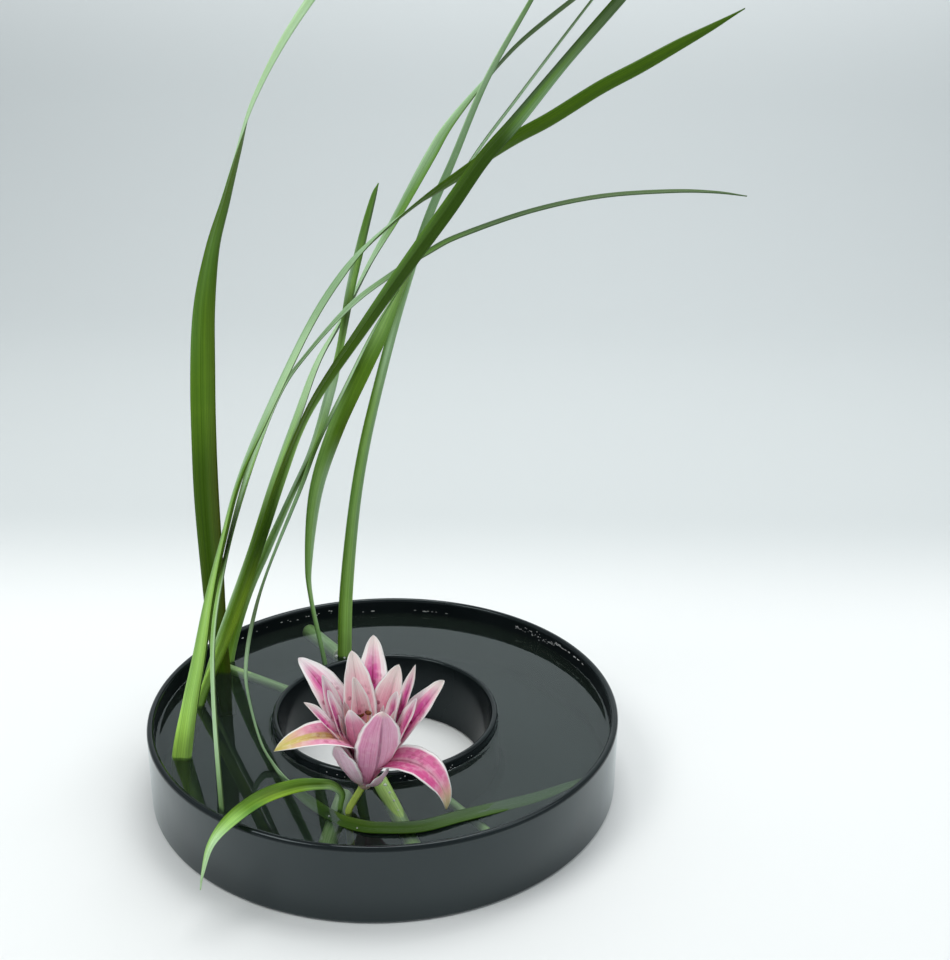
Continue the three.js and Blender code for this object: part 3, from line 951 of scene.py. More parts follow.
@dataclass
class RingBowl:
    """Low round bowl whose middle is an open ring, with sizes in millimetres."""

    radius: float = 165.0
    height: float = 55.0
    wall: float = 5.0
    floor: float = 4.0
    ring_height: float = 49.0
    lip_radius: float = 80.0
    foot_radius: float = 82.0
    lip_wall: float = 4.5
    hole_foot: float = 70.0
    corner: float = 4.0
    foot_corner: float = 1.5
    wet: float = WATER_LEVEL
    hold: float = 0.7
    crisp: float = 50.0
    slack: float = 0.5
    round_steps: int = 10
    fillet_steps: int = 4
    steps: int = 192

    def ring_radius(self, z: float) -> float:
        """Find the outer radius of the inner ring at a height."""
        rise = (z - self.floor) / (self.ring_height - self.floor)
        return self.foot_radius + (self.lip_radius - self.foot_radius) * rise

    def round_over(self, centre: float, z: float, radius: float) -> Profile:
        """Outline the rounded top of a wall.

        Args:
            centre: Radius of the wall's middle.
            z: Height at which the rounding starts.
            radius: Radius of the rounding.

        Returns:
            Radius and height of each corner, from its outer side to its inner side.
        """
        turns = [math.pi * i / self.round_steps for i in range(self.round_steps + 1)]
        return [(centre + radius * math.cos(a), z + radius * math.sin(a)) for a in turns]

    def outline(self) -> Profile:
        """Outline half of the bowl's section.

        Returns:
            Radius and height of each corner, in order round the section.
        """
        rim_round, lip_round = self.wall / 2, self.lip_wall / 2
        rim_z, lip_z = self.height - rim_round, self.ring_height - lip_round
        inner, soft = self.radius - self.wall, self.corner
        fillet = [
            (inner - soft + soft * math.cos(a), self.floor + soft - soft * math.sin(a))
            for a in (math.pi / 2 * i / self.fillet_steps for i in range(self.fillet_steps + 1))
        ]
        return [
            (self.hole_foot, self.foot_corner),
            (self.hole_foot + self.foot_corner, 0.0),
            (self.radius - self.foot_corner, 0.0),
            (self.radius, self.foot_corner),
            *self.round_over(self.radius - rim_round, rim_z, rim_round),
            (inner, self.wet),
            *fillet,
            (self.foot_radius + soft, self.floor),
            (self.ring_radius(self.floor + soft), self.floor + soft),
            (self.ring_radius(self.wet), self.wet),
            *self.round_over(self.ring_radius(lip_z) - lip_round, lip_z, lip_round),
        ]

    def side_of(self, face: bmesh.types.BMFace) -> BowlSide:
        """Say which side of the bowl a face is part of.

        Args:
            face: The face.

        Returns:
            The crown for the rounded tops of both walls, the trough for faces under the water and
            on the rim's inner side, the bore for the hole's wall, and the outside for all others.
        """
        middle = (face.calc_center_median() - AXIS) / MM
        reach = math.hypot(middle.x, middle.y)
        outer = reach > (self.radius + self.foot_radius) / 2
        if middle.z > (self.height - self.wall / 2 if outer else self.ring_height - self.lip_wall / 2):
            return BowlSide.CROWN
        ring = self.ring_radius(middle.z)
        top = self.height - self.wall / 2 if reach > self.radius - 2 * self.wall else self.wet
        between_walls = ring - self.slack < reach < self.radius - self.wall + self.slack
        if between_walls and self.floor - self.slack < middle.z < top:
            return BowlSide.TROUGH
        if reach < ring - self.lip_wall + self.slack and middle.z < self.ring_height - self.lip_wall / 2:
            return BowlSide.BORE
        return BowlSide.OUTSIDE

    def build(self) -> Piece:
        """Spin the section into the bowl and give each side its finish.

        Returns:
            The bowl.
        """
        bm = spun(held(self.outline(), self.hold), self.steps)
        for face in bm.faces:
            face.material_index = self.side_of(face).value
        finishes = {
            BowlSide.OUTSIDE: LacquerFinish(),
            BowlSide.TROUGH: LacquerFinish("settled_lacquer", rough=0.5, gloss=0.08, coat=0.0),
            BowlSide.BORE: LacquerFinish("bore_lacquer", rough=0.14, gloss=0.26, coat=0.0),
            BowlSide.CROWN: LacquerFinish("crown_lacquer", rough=0.05, gloss=0.22, coat=0.1),
        }
        materials = [finishes[side].make() for side in BowlSide]
        piece = finish_piece(bm, "lacquer_bowl", materials, ("bowl",))
        crisp_edges(piece, self.crisp)
        return piece


@dataclass
class StillWater:
    """Surface of the water in the trough, which climbs a little at both walls."""

    bowl: RingBowl
    level: float = WATER_LEVEL
    climb: float = 0.5
    reach: float = 2.4
    curl: float = 2.5
    gap: float = 0.3
    edge: float = 0.5
    climb_steps: int = 5
    steps: int = 160

    def build(self) -> Piece:
        """Spin the surface as a thin sheet.

        Returns:
            The water's surface.
        """
        inner = self.bowl.ring_radius(self.level) + self.gap
        outer = self.bowl.radius - self.bowl.wall - self.gap
        shares = [i / self.climb_steps for i in range(self.climb_steps + 1)]
        rise = [(self.reach * t, self.level + self.climb * (1 - t) ** self.curl) for t in shares]
        near = [(inner + run, z) for run, z in rise]
        far = [(outer - run, z) for run, z in reversed(rise)]
        first, last = inner + self.reach + self.edge, outer - self.reach - self.edge
        middle = [(first + (last - first) * t, self.level) for t in (0.0, 0.33, 0.67, 1.0)]
        bm = spun_sheet([*near, *middle, *far], self.steps)
        return finish_piece(bm, "water_surface", [WaterFinish().make()], ("water",))


@dataclass(frozen=True)
class DropRow:
    """Fine drops along a wall: angles in degrees, heights in millimetres, length as a multiple of width."""

    count: int
    start: float
    end: float
    height: float
    scatter: float
    length: float
    on_ring: bool = False


@dataclass
class WaterDrops:
    """Drops that cling to the stalks, and finer ones on the walls, with sizes in millimetres."""

    bowl: RingBowl
    finest: float = 0.24
    coarsest: float = 0.52
    seed: int = 7

    def rows(self) -> list[DropRow]:
        """List the rows.

        Returns:
            Dashes on the back wall, a cluster at its right, and drops on the ring.
        """
        # The near-white drops of these rows paint glints along the walls.
        return [
            DropRow(8, 75, 87, 45.3, 0.2, 3.6), DropRow(3, 97, 103, 44.8, 0.15, 3.6),
            DropRow(44, 38, 55, 47.8, 1.3, 1.7), DropRow(14, 24, 38, 49.6, 0.5, 4.5),
            DropRow(16, 106, 140, 47.6, 0.9, 2.0), DropRow(16, -115, -35, 44.6, 0.8, 1.2, True),
        ]

    def large(self) -> list[Mesh]:
        """Make the large drops, from rows of place and radius.

        Returns:
            The drops.
        """
        rows = [
            (6.4, -90.8, 47.6, 1.3), (9.8, -97.0, 46.2, 1.0), (3.6, -88.5, 48.4, 0.8),
            (12.9, -103.5, 44.9, 0.9), (-44.6, 86.0, 42.6, 1.3), (-33.0, 85.6, 42.6, 1.1),
            (-38.0, 83.2, 42.7, 0.9), (-20.8, -106.0, 42.6, 0.6), (-27.0, -117.0, 42.5, 0.5),
            (16.0, -111.0, 43.2, 0.6), (-8.0, -131.0, 44.2, 0.5),
        ]
        return [ball_mesh(Vector(row[:3]), (row[3], row[3], row[3] * 0.8), 2) for row in rows]

    def fine(self) -> list[Mesh]:
        """Make the fine drops, each drawn out along its wall.

        Returns:
            The drops.
        """
        dice = random.Random(self.seed)
        drops = []
        for row in self.rows():
            for _ in range(row.count):
                around = math.radians(dice.uniform(row.start, row.end))
                height = row.height + dice.gauss(0.0, row.scatter)
                reach = self.bowl.ring_radius(height) if row.on_ring else self.bowl.radius - self.bowl.wall
                size = dice.uniform(self.finest, self.coarsest)
                spot = Vector((reach * math.cos(around), reach * math.sin(around), height))
                turn = Matrix.Rotation(around, 3, "Z")
                drops.append(ball_mesh(spot, (size, size * row.length, size), 1, turn))
        return drops

    def build(self) -> Piece:
        """Make all drops as one piece."""
        parts = [*self.large(), *self.fine()]
        return finish_piece(gather(parts), "water_drops", [DropletFinish().make()])


def section_edges(bm: Mesh, points: Profile, closed: bool) -> list[Element]:
    """Draw a section's outline in the plane of the bowl's axis.

    Args:
        bm: Mesh that takes it.
        points: Radius and height of each corner.
        closed: Whether the outline closes on itself.

    Returns:
        Its vertices and edges.
    """
    verts = [bm.verts.new(place(r, 0.0, z)) for r, z in points]
    pairs = list(zip(verts, verts[1:]))
    if closed:
        pairs.append((verts[-1], verts[0]))
    return [*verts, *(bm.edges.new(pair) for pair in pairs)]


def held(points: Profile, margin: float) -> Profile:
    """Add a point near both ends of each long side, so that smooth shading stays flat between them.

    Args:
        points: Corners of a closed outline.
        margin: Distance of the added points from the corners.

    Returns:
        The corners and the added points, in order.
    """
    result = []
    for (r, z), (r_next, z_next) in zip(points, points[1:] + points[:1]):
        result.append((r, z))
        length = math.hypot(r_next - r, z_next - z)
        if length > 4 * margin:
            for share in (margin / length, 1 - margin / length):
                result.append((r + (r_next - r) * share, z + (z_next - z) * share))
    return result


def spun(points: Profile, steps: int, closed: bool = True) -> Mesh:
    """Spin an outline about the bowl's axis into a shell.

    Args:
        points: Radius and height of each corner.
        steps: Faces round the axis.
        closed: Whether the outline closes on itself.

    Returns:
        The spun mesh.
    """
    bm = bmesh.new()
    geometry = section_edges(bm, points, closed)
    bmesh.ops.spin(bm, geom=geometry, cent=AXIS, axis=(0.0, 0.0, 1.0), angle=2 * math.pi,
                   steps=steps, use_merge=True)
    bmesh.ops.remove_doubles(bm, verts=bm.verts[:], dist=WELD)
    bmesh.ops.recalc_face_normals(bm, faces=bm.faces[:])
    return bm


def spun_sheet(points: Profile, steps: int) -> Mesh:
    """Spin an open outline and turn its faces up.

    Args:
        points: Radius and height of each corner.
        steps: Faces round the axis.

    Returns:
        The spun mesh.
    """
    bm = spun(points, steps, closed=False)
    if sum(face.normal.z for face in bm.faces) < 0:
        bmesh.ops.reverse_faces(bm, faces=bm.faces[:])
    return bm


def crisp_edges(piece: Piece, degrees: float) -> None:
    """Keep edges sharper than an angle crisp under smooth shading.

    Args:
        piece: The piece.
        degrees: The angle.
    """
    mesh = piece.data
    bm = bmesh.new()
    bm.from_mesh(mesh)
    for edge in bm.edges:
        edge.smooth = edge.calc_face_angle(0.0) < math.radians(degrees)
    bm.to_mesh(mesh)
    bm.free()


# Leaves

LEAF_FOOT = 4.6
FACING_VIEWER = Vector((0.0, -0.93, 0.36))


@dataclass
class Leaf:
    """Long blade that follows knots of place, width and turn, in millimetres and degrees.

    The turn rotates the face about the leaf's own length: 0 faces the viewer, 90 is edge on
    and past 90 shows the back.
    """

    name: str
    node: str
    slot: str
    finish: LeafFinish | StalkFinish
    knots: list[Knot]
    stalk: float = 0.0
    cup: float = 0.15
    fold: float = 0.1
    thin: float = 0.9
    taper: int = 4
    stout: float = 0.6
    per_span: int = 8
    lanes: int = 10

    def route_point(self, span: int, f: float) -> Vector:
        """Find a place on the route.

        Args:
            span: Number of the knot before it.
            f: Share of the way to the next knot.

        Returns:
            The place.
        """
        points = [Vector(knot[:3]) for knot in self.knots]
        ends = [points[0] * 2 - points[1], *points, points[-1] * 2 - points[-2]]
        a, b, c, d = ends[span:span + 4]
        return Vector(tuple(cubic(a[k], b[k], c[k], d[k], f) for k in range(3)))

    def stations(self) -> list[Station]:
        """Work out the leaf's cross-sections.

        Returns:
            The stations from foot to tip.
        """
        count = (len(self.knots) - 1) * self.per_span
        points, shares = [], []
        for i in range(count + 1):
            span = min(i // self.per_span, len(self.knots) - 2)
            points.append(self.route_point(span, i / self.per_span - span))
            shares.append(i / count)
        lengths = [0.0]
        for before, after in zip(points, points[1:]):
            lengths.append(lengths[-1] + (after - before).length)
        rows = []
        for i, (point, t) in enumerate(zip(points, shares)):
            ahead, behind = points[min(i + 1, count)], points[max(i - 1, 0)]
            tangent = (ahead - behind).normalized()
            flat = (FACING_VIEWER - tangent * FACING_VIEWER.dot(tangent)).normalized()
            turn = smooth_value([knot[4] for knot in self.knots], t)
            normal = Matrix.Rotation(math.radians(turn), 3, tangent) @ flat
            width = max(smooth_value([knot[3] for knot in self.knots], t), NARROWEST)
            rows.append(Station(point, tangent, normal, width, self.thickness(width, t), self.cup,
                                lengths[i] / lengths[-1], self.fold))
        return rows

    def thickness(self, width: float, t: float) -> float:
        """Find the thickness for a width and a share of the length: stout at the foot, thin above."""
        return min(self.thin + self.stalk * (1 - t) ** self.taper, max(width * self.stout, NARROWEST))

    def build(self) -> Piece:
        """Make the leaf."""
        bm = blade_mesh(self.stations(), self.lanes)
        return finish_piece(bm, self.name, [self.finish.make()], (self.node,))


# Greens for the leaves' tones, which paint light and shade on the leaves as well as their own colour.
GREENS = {
    "deep": (0.05, 0.12, 0.001),
    "dark": (0.03, 0.08, 0.001),
    "mid": (0.13, 0.28, 0.045),
    "leaf": (0.11, 0.235, 0.012),
    "olive": (0.085, 0.16, 0.01),
    "light": (0.29, 0.52, 0.14),
    "fresh": (0.36, 0.64, 0.14),
    "lime": (0.5, 0.86, 0.15),
    "mint": (0.46, 0.68, 0.42),
    "sea": (0.34, 0.52, 0.33),
    "bluish": (0.24, 0.4, 0.22),
    "grey": (0.085, 0.145, 0.06),
    "slate": (0.05, 0.095, 0.04),
    "yellow": (0.25, 0.42, 0.03),
    "brown": (0.06, 0.09, 0.006),
}


def tones(*rows: tuple[float, str, str, str]) -> tuple[Tone, ...]:
    """Name a leaf's tones by its greens, from foot to tip; they hold painted light and shade besides the
    leaf's own colour.
    """
    return tuple(Tone(at, GREENS[left], GREENS[middle], GREENS[right]) for at, left, middle, right in rows)


class LeafGroup:
    """All long leaves of the arrangement."""

    def leaves(self) -> list[Leaf]:
        """List the leaves.

        Returns:
            Each leaf with its route and finish.
        """
        return [*self.standing_left(), *self.standing_back(), *self.lying()]

    def standing_left(self) -> list[Leaf]:
        """List the leaves that stand in the left of the trough.

        Returns:
            The leaves.
        """
        return [
            Leaf(
                "leaf_tall", "tall_leaf", "leaf",
                LeafFinish("tall_leaf_green", GREENS["mint"], tones(
                    (0.0, "brown", "deep", "brown"), (0.3, "deep", "deep", "brown"),
                    (0.42, "leaf", "leaf", "olive"), (0.5, "mid", "leaf", "olive"),
                    (0.58, "leaf", "mid", "deep"), (0.66, "leaf", "olive", "deep"),
                )),
                [
                    (-126, 60, LEAF_FOOT, 12, 0), (-130, 60.5, 69, 14.5, 0), (-130.5, 59.5, 128, 17, 0),
                    (-130.5, 58, 184, 18, 0), (-129, 56, 230, 17.5, 4), (-126.5, 54, 275, 17, 10),
                    (-122, 51, 324, 15.5, 34), (-113.5, 48, 365.5, 14, 64), (-102, 45, 398.5, 12.5, 78),
                    (-91, 42, 430, 11.5, 92), (-79, 38, 461, 11, 116), (-62, 33, 491, 10, 133),
                    (-41, 28, 519.5, 9, 145), (-17, 22, 546, 7, 155), (13, 14, 569, 3.5, 165),
                    (25, 11, 576, 0.9, 170),
                ],
                stalk=3.0, cup=0.16, fold=0.12,
            ),
            Leaf(
                "leaf_front", "front_leaf", "pale_leaf",
                LeafFinish("front_leaf_green", GREENS["deep"], tones(
                    (0.0, "lime", "lime", "fresh"), (0.08, "lime", "lime", "fresh"),
                    (0.14, "light", "fresh", "fresh"), (0.22, "mid", "fresh", "fresh"),
                    (0.3, "mid", "light", "light"), (0.37, "mint", "bluish", "mid"),
                    (0.47, "sea", "mint", "mint"), (0.56, "bluish", "bluish", "bluish"),
                    (0.62, "sea", "bluish", "bluish"),
                )),
                [
                    (-138, -52, LEAF_FOOT, 13.5, 0), (-134, -52, 41, 13.5, 0), (-125.5, -52, 82, 12.5, -24),
                    (-117.5, -52, 115.5, 12, -38), (-108, -50.5, 159, 11.5, -56), (-98, -49, 197, 10.5, -70),
                    (-86, -45, 238, 9.5, -71), (-68.5, -40, 277.5, 9, -54), (-41.5, -28, 332, 9, -53),
                    (-21.5, -20, 363, 9, -54), (-4, -13, 382.5, 9, -67), (20, -5, 402, 9, -82),
                    (44, 2, 417.5, 9, -113), (80.5, 11, 441, 9, -134), (104.5, 15, 454, 8.5, -154),
                    (134, 19, 472, 8.3, -158), (158, 22, 484.5, 8, -160), (181.5, 24, 497.5, 6.6, -162),
                    (200.5, 26, 507.5, 4, -164), (219.5, 28, 518, 0.8, -165),
                ],
                stalk=7.0, cup=0.14, fold=0.08,
            ),
            Leaf(
                "leaf_arching", "arching_leaf", "pale_leaf",
                LeafFinish("arching_leaf_green", GREENS["grey"], tones(
                    (0.0, "light", "light", "mid"), (0.15, "mint", "mint", "mint"),
                    (0.26, "light", "light", "mint"), (0.33, "olive", "dark", "dark"),
                    (0.4, "deep", "mint", "light"), (0.47, "mint", "sea", "mint"),
                    (0.52, "bluish", "grey", "bluish"), (0.6, "sea", "bluish", "sea"),
                    (0.68, "grey", "mid", "grey"), (0.76, "slate", "grey", "slate"),
                    (0.92, "grey", "grey", "slate"),
                )),
                [
                    (-93, -116, LEAF_FOOT, 5, -50), (-96, -108, 42.5, 5, -50), (-101, -88, 104, 5.5, -56),
                    (-102.5, -70, 144, 6, -54), (-98, -55, 177.5, 6.5, -60), (-90, -43, 212, 7, -56),
                    (-76.5, -31, 254.5, 7, -44), (-61, -23, 290, 6.5, -54), (-44.5, -17, 313, 6, -62),
                    (-17.5, -8, 342, 6, -48), (7, -1, 360, 6, -48), (32, 1, 375.5, 6, -44),
                    (50.5, -1, 385.5, 5.6, -44), (93, -8, 402, 5.2, -46), (134, -16, 412.5, 4.6, -44),
                    (174.5, -23, 417, 3.8, -42), (200, -28, 417.5, 2.2, -40), (218, -32, 416, 0.8, -40),
                ],
                stalk=1.5, cup=0.2,
            ),
            Leaf(
                "leaf_broad", "broad_leaf", "pale_leaf",
                LeafFinish("broad_leaf_green", GREENS["grey"], tones(
                    (0.0, "fresh", "fresh", "light"), (0.08, "light", "fresh", "light"),
                    (0.16, "mint", "leaf", "deep"), (0.28, "leaf", "dark", "dark"),
                    (0.38, "sea", "light", "deep"), (0.46, "mint", "mint", "mint"),
                    (0.6, "mint", "sea", "sea"), (0.67, "sea", "mid", "mid"),
                    (0.75, "mint", "bluish", "mid"), (0.85, "sea", "bluish", "grey"),
                )),
                [
                    (-147, 38, LEAF_FOOT, 7, -42), (-137, 37, 42, 7, -42), (-123, 35.5, 83.5, 8, -42),
                    (-98.5, 36, 147.5, 9, -46), (-79, 38, 204, 9.5, -48), (-61.5, 43, 250, 10, -50),
                    (-46.5, 48, 289, 10, -60), (-29, 52, 320, 10, -74), (-10.5, 54, 356, 10, -66),
                    (10, 55, 390.5, 10, -46), (30, 54, 426, 9.5, -32), (43, 52.5, 447, 9, -42),
                    (65, 50, 474, 8.5, -66), (77, 50, 487.5, 8, -88), (92, 50, 501.5, 6.8, -97),
                    (119, 50, 522.5, 5.2, -106), (137, 49, 535.5, 3.4, -114), (148.5, 48, 543, 0.8, -120),
                ],
                stalk=3.0, cup=0.18,
            ),
            Leaf(
                "leaf_middle", "middle_leaf", "leaf",
                LeafFinish("middle_leaf_green", GREENS["dark"], tones(
                    (0.0, "fresh", "light", "leaf"), (0.08, "lime", "fresh", "deep"),
                    (0.17, "leaf", "yellow", "yellow"), (0.28, "deep", "dark", "dark"),
                    (0.38, "olive", "deep", "light"), (0.5, "deep", "deep", "deep"),
                    (0.59, "mid", "dark", "dark"), (0.74, "deep", "dark", "dark"),
                    (0.78, "slate", "mid", "bluish"), (0.9, "dark", "grey", "grey"),
                )),
                [
                    (-146, 9, LEAF_FOOT, 6.5, 20), (-134.5, 12, 46, 7, 24), (-114, 12, 95.5, 7.5, 24),
                    (-89.5, 9, 160, 8.5, 42), (-67.5, 2, 222, 9, 54), (-52.5, -4, 259, 9, 70),
                    (-37, -11, 288.5, 9.5, 62), (-9.5, -19, 330, 10, 52), (17, -24, 368.5, 10.5, 42),
                    (43, -25, 404.5, 10.5, 32), (63.5, -22, 433.5, 10.5, 44), (83.5, -17, 456, 10, 46),
                    (111.5, -8, 489, 9, 56), (141, 2, 521.5, 7.5, 42), (159, 8, 541, 6, 40),
                    (178.5, 14, 560.5, 3.4, 40), (187, 17, 568.5, 0.8, 40),
                ],
                stalk=2.5, cup=0.16,
            ),
        ]

    def standing_back(self) -> list[Leaf]:
        """List the leaves that stand in the back of the trough.

        Returns:
            The leaves.
        """
        return [
            Leaf(
                "leaf_short", "short_leaf", "leaf",
                LeafFinish("short_leaf_green", GREENS["mid"], tones(
                    (0.0, "yellow", "light", "light"), (0.16, "light", "yellow", "light"),
                    (0.34, "light", "mid", "mint"), (0.43, "bluish", "mid", "mint"),
                    (0.5, "mint", "dark", "dark"), (0.58, "mint", "light", "mid"),
                    (0.66, "sea", "mint", "sea"), (0.73, "light", "mid", "light"),
                    (0.79, "mid", "dark", "grey"), (0.85, "sea", "light", "mid"),
                    (0.95, "mid", "mid", "grey"),
                )),
                [
                    (-130, 76.5, LEAF_FOOT, 8.5, 12), (-126.5, 77, 45.5, 8.7, 12),
                    (-110.5, 72, 97.5, 8.2, 34), (-90.5, 66, 143, 7.8, 46), (-67.5, 56, 193.5, 7.6, 64),
                    (-51.5, 48, 228, 7.4, 48),
                    (-37.5, 42.5, 272, 7.2, 34), (-29.5, 39, 304.5, 7, 56), (-21.5, 35, 343, 6.5, 34),
                    (-13, 33, 376, 5.8, 26), (-5, 31, 403.5, 3.6, 14), (-1.5, 30, 412.5, 0.8, 10),
                ],
                stalk=3.0, cup=0.16,
            ),
            Leaf(
                "leaf_upright", "upright_leaf", "pale_leaf",
                LeafFinish("upright_leaf_green", GREENS["mid"], tones(
                    (0.0, "leaf", "fresh", "light"), (0.12, "leaf", "fresh", "light"),
                    (0.3, "mid", "light", "bluish"), (0.43, "leaf", "light", "bluish"),
                    (0.51, "mid", "mint", "bluish"), (0.6, "olive", "mid", "sea"),
                    (0.7, "bluish", "bluish", "bluish"), (0.85, "mint", "sea", "bluish"),
                    (1.0, "mid", "mid", "grey"),
                )),
                [
                    (-41, 92.5, LEAF_FOOT, 11, 0), (-38.5, 88.5, 42, 11, 0), (-35.5, 84, 96.5, 10.2, 8),
                    (-27.5, 78, 167, 8.8, 16), (-18, 72, 221.5, 8.2, 22), (-4, 64, 279, 7.4, 28),
                    (11, 57, 333, 6.8, 32), (28.5, 48, 387, 6.2, 34), (45, 41, 426, 5.4, 38),
                    (65.5, 35, 475, 4.2, 34), (91.5, 29, 521, 3, 34), (108.5, 24, 551.5, 0.8, 34),
                ],
                stalk=6.0, cup=0.12, fold=0.0,
            ),
            Leaf(
                "leaf_twisted", "twisted_leaf", "leaf",
                LeafFinish("twisted_leaf_green", GREENS["grey"], tones(
                    (0.0, "bluish", "bluish", "mid"), (0.2, "mid", "light", "mint"),
                    (0.32, "mid", "light", "sea"), (0.4, "light", "leaf", "olive"),
                    (0.48, "deep", "leaf", "leaf"), (0.55, "light", "light", "mid"),
                    (0.64, "deep", "olive", "olive"), (0.72, "mint", "sea", "mid"),
                    (0.83, "sea", "sea", "bluish"), (0.93, "grey", "bluish", "grey"),
                )),
                [
                    (-48, 77, LEAF_FOOT, 5, 60), (-52, 74, 42, 5.4, 66), (-60.5, 72, 98, 6.6, 74),
                    (-61, 70, 132, 8.4, 56), (-53, 64, 189, 10.2, 26), (-36.5, 56, 239, 11.4, 14),
                    (-15.5, 47, 285.5, 11.6, 16), (-1.5, 42, 314.5, 11, 36), (13, 35, 347.5, 9.5, 74),
                    (31, 31, 380, 8.5, 84), (56.5, 26, 427, 7.5, 86), (86, 22, 467.5, 6.5, 88),
                    (120.5, 20, 513, 5, 88), (141.5, 19, 540, 3, 88), (149, 19, 550, 0.8, 88),
                ],
                stalk=1.2, cup=0.12,
            ),
        ]

    def lying(self) -> list[Leaf]:
        """List the leaf that trails down into the water and the one that droops over the rim.

        Returns:
            The leaves.
        """
        return [
            Leaf(
                "leaf_trailing", "trailing_leaf", "leaf",
                LeafFinish("trailing_leaf_green", GREENS["slate"], tones(
                    (0.0, "mid", "mid", "mid"), (0.1, "mint", "mint", "grey"), (0.2, "dark", "dark", "mid"),
                    (0.3, "bluish", "bluish", "bluish"), (0.4, "grey", "grey", "grey"),
                    (0.48, "sea", "mint", "sea"), (0.58, "mint", "mint", "dark"),
                    (0.63, "dark", "deep", "grey"), (0.7, "olive", "dark", "dark"),
                    (0.78, "slate", "dark", "dark"), (0.86, "slate", "slate", "dark"),
                    (1.0, "slate", "slate", "slate"),
                ), underwater_shade_share=0.0),
                [
                    (11, 27.5, 345.5, 1.2, 62), (-6, 27, 318, 3.6, 60), (-26.5, 25, 277.5, 4.6, 56),
                    (-44.5, 21, 241, 5.2, 50), (-56, 16, 211.5, 5.6, 54), (-79, 1, 156, 6, 68),
                    (-88.5, -12, 124.5, 6, 56), (-92, -27, 98, 5.6, 52), (-89.5, -37, 80, 5.2, 58),
                    (-80, -54, 56.5, 4.8, 58), (-70, -66, 46, 5, 50), (-59, -78.5, 40, 5.6, 20),
                    (-47, -91, 38.4, 6.6, -20), (-35, -105, 39.8, 8, -50), (-21, -119, 41.8, 9.4, -60),
                    (-7, -127, 43, 11.5, -66), (6, -129.5, 43.4, 12, -69), (30.5, -127.5, 43.2, 12.5, -69),
                    (55, -116, 42.6, 12.5, -69), (80.5, -104, 41.6, 12, -69), (105, -91.5, 40.6, 10.5, -68),
                    (127, -76.5, 39.8, 6.5, -68), (141, -65.5, 39.2, 0.9, -68),
                ],
                cup=0.1, fold=0.06, per_span=6,
            ),
            Leaf(
                "leaf_drooping", "drooping_leaf", "pale_leaf",
                LeafFinish("drooping_leaf_green", GREENS["light"], tones(
                    (0.0, "light", "light", "mid"), (0.14, "mint", "light", "dark"),
                    (0.24, "light", "deep", "mid"), (0.36, "yellow", "deep", "leaf"),
                    (0.47, "yellow", "olive", "deep"), (0.57, "mid", "leaf", "deep"),
                    (0.68, "light", "light", "leaf"), (0.8, "mint", "mint", "light"),
                    (1.0, "mint", "mint", "mint"),
                ), vein=0.75, underwater_shade_share=0.0),
                [
                    (-21.5, -109, 39.4, 3.2, 0), (-20.3, -109, 46, 3.4, 0), (-19.5, -109, 53.3, 4.4, 10),
                    (-23.5, -110.5, 59.5, 6, 40), (-30.5, -113, 63.2, 8, 52), (-46.5, -121, 67, 11, 54),
                    (-65, -133, 67, 12.5, 52), (-81, -148, 62, 11, 44), (-91, -161, 54, 6, 36),
                    (-95, -170, 40.5, 2.2, 20), (-96.5, -173, 30.5, 0.8, 10),
                ],
                stalk=1.0, cup=0.14, per_span=10,
            ),
        ]

    def build(self) -> None:
        """Make every leaf."""
        for leaf in self.leaves():
            leaf.build()


# Cut stalks


@dataclass
class Strut:
    """Cut stalk laid across the trough, with its ends in millimetres."""

    name: str
    node: str
    start: Place
    end: Place
    radius: float
    finish: StalkFinish
    taper: float = 0.96
    rings: int = 14
    sides: int = 28

    def build(self) -> Piece:
        """Make the stalk.

        Returns:
            The stalk.
        """
        start, end, tip = Vector(self.start), Vector(self.end), self.radius * self.taper
        bm = rod_mesh(start, end, self.radius, tip, self.rings, self.sides)
        return finish_piece(bm, self.name, [self.finish.make()], (self.node,))


def struts() -> list[Strut]:
    """List the cut stalks, which end just short of the walls.

    Returns:
        The stalks.
    """
    pale = StalkFinish("pale_stalk", (0.34, 0.46, 0.24), (0.2, 0.32, 0.12))
    fresh = StalkFinish("fresh_stalk", (0.36, 0.52, 0.14), (0.2, 0.36, 0.07))
    soft = StalkFinish("soft_stalk", (0.3, 0.45, 0.2), (0.18, 0.3, 0.1))
    return [
        Strut("stalk_back", "back_strut", (-74, 141.2, 35), (-44, 100.8, 35), 5.8, soft),
        Strut("stalk_left", "left_strut", (-138, 74, 41.7), (-73.5, 43.6, 35.3), 3.5, soft),
        Strut("stalk_pale", "pale_strut", (-21, -82.5, 33.4), (-29.4, -155, 31.6), 5.8, pale),
        Strut("stalk_front", "front_strut", (2.2, -82, 44.8), (35.8, -152.2, 29.1), 5.0, fresh),
        Strut("stalk_right", "right_strut", (42, -83, 35.6), (83, -131.6, 33.2), 2.9, soft),
    ]


# Lily

RECEPTACLE = Vector((-5.0, -106.0, 60.0))


class PetalKind(Enum):
    """Finishes of the petals, by material index."""

    PINK = 0
    DUSTY = 1
    BRIGHT = 2
    LEFT = 3
    RIGHT = 4
    FRONT = 5
    CREAM = 6
    BASE = 7


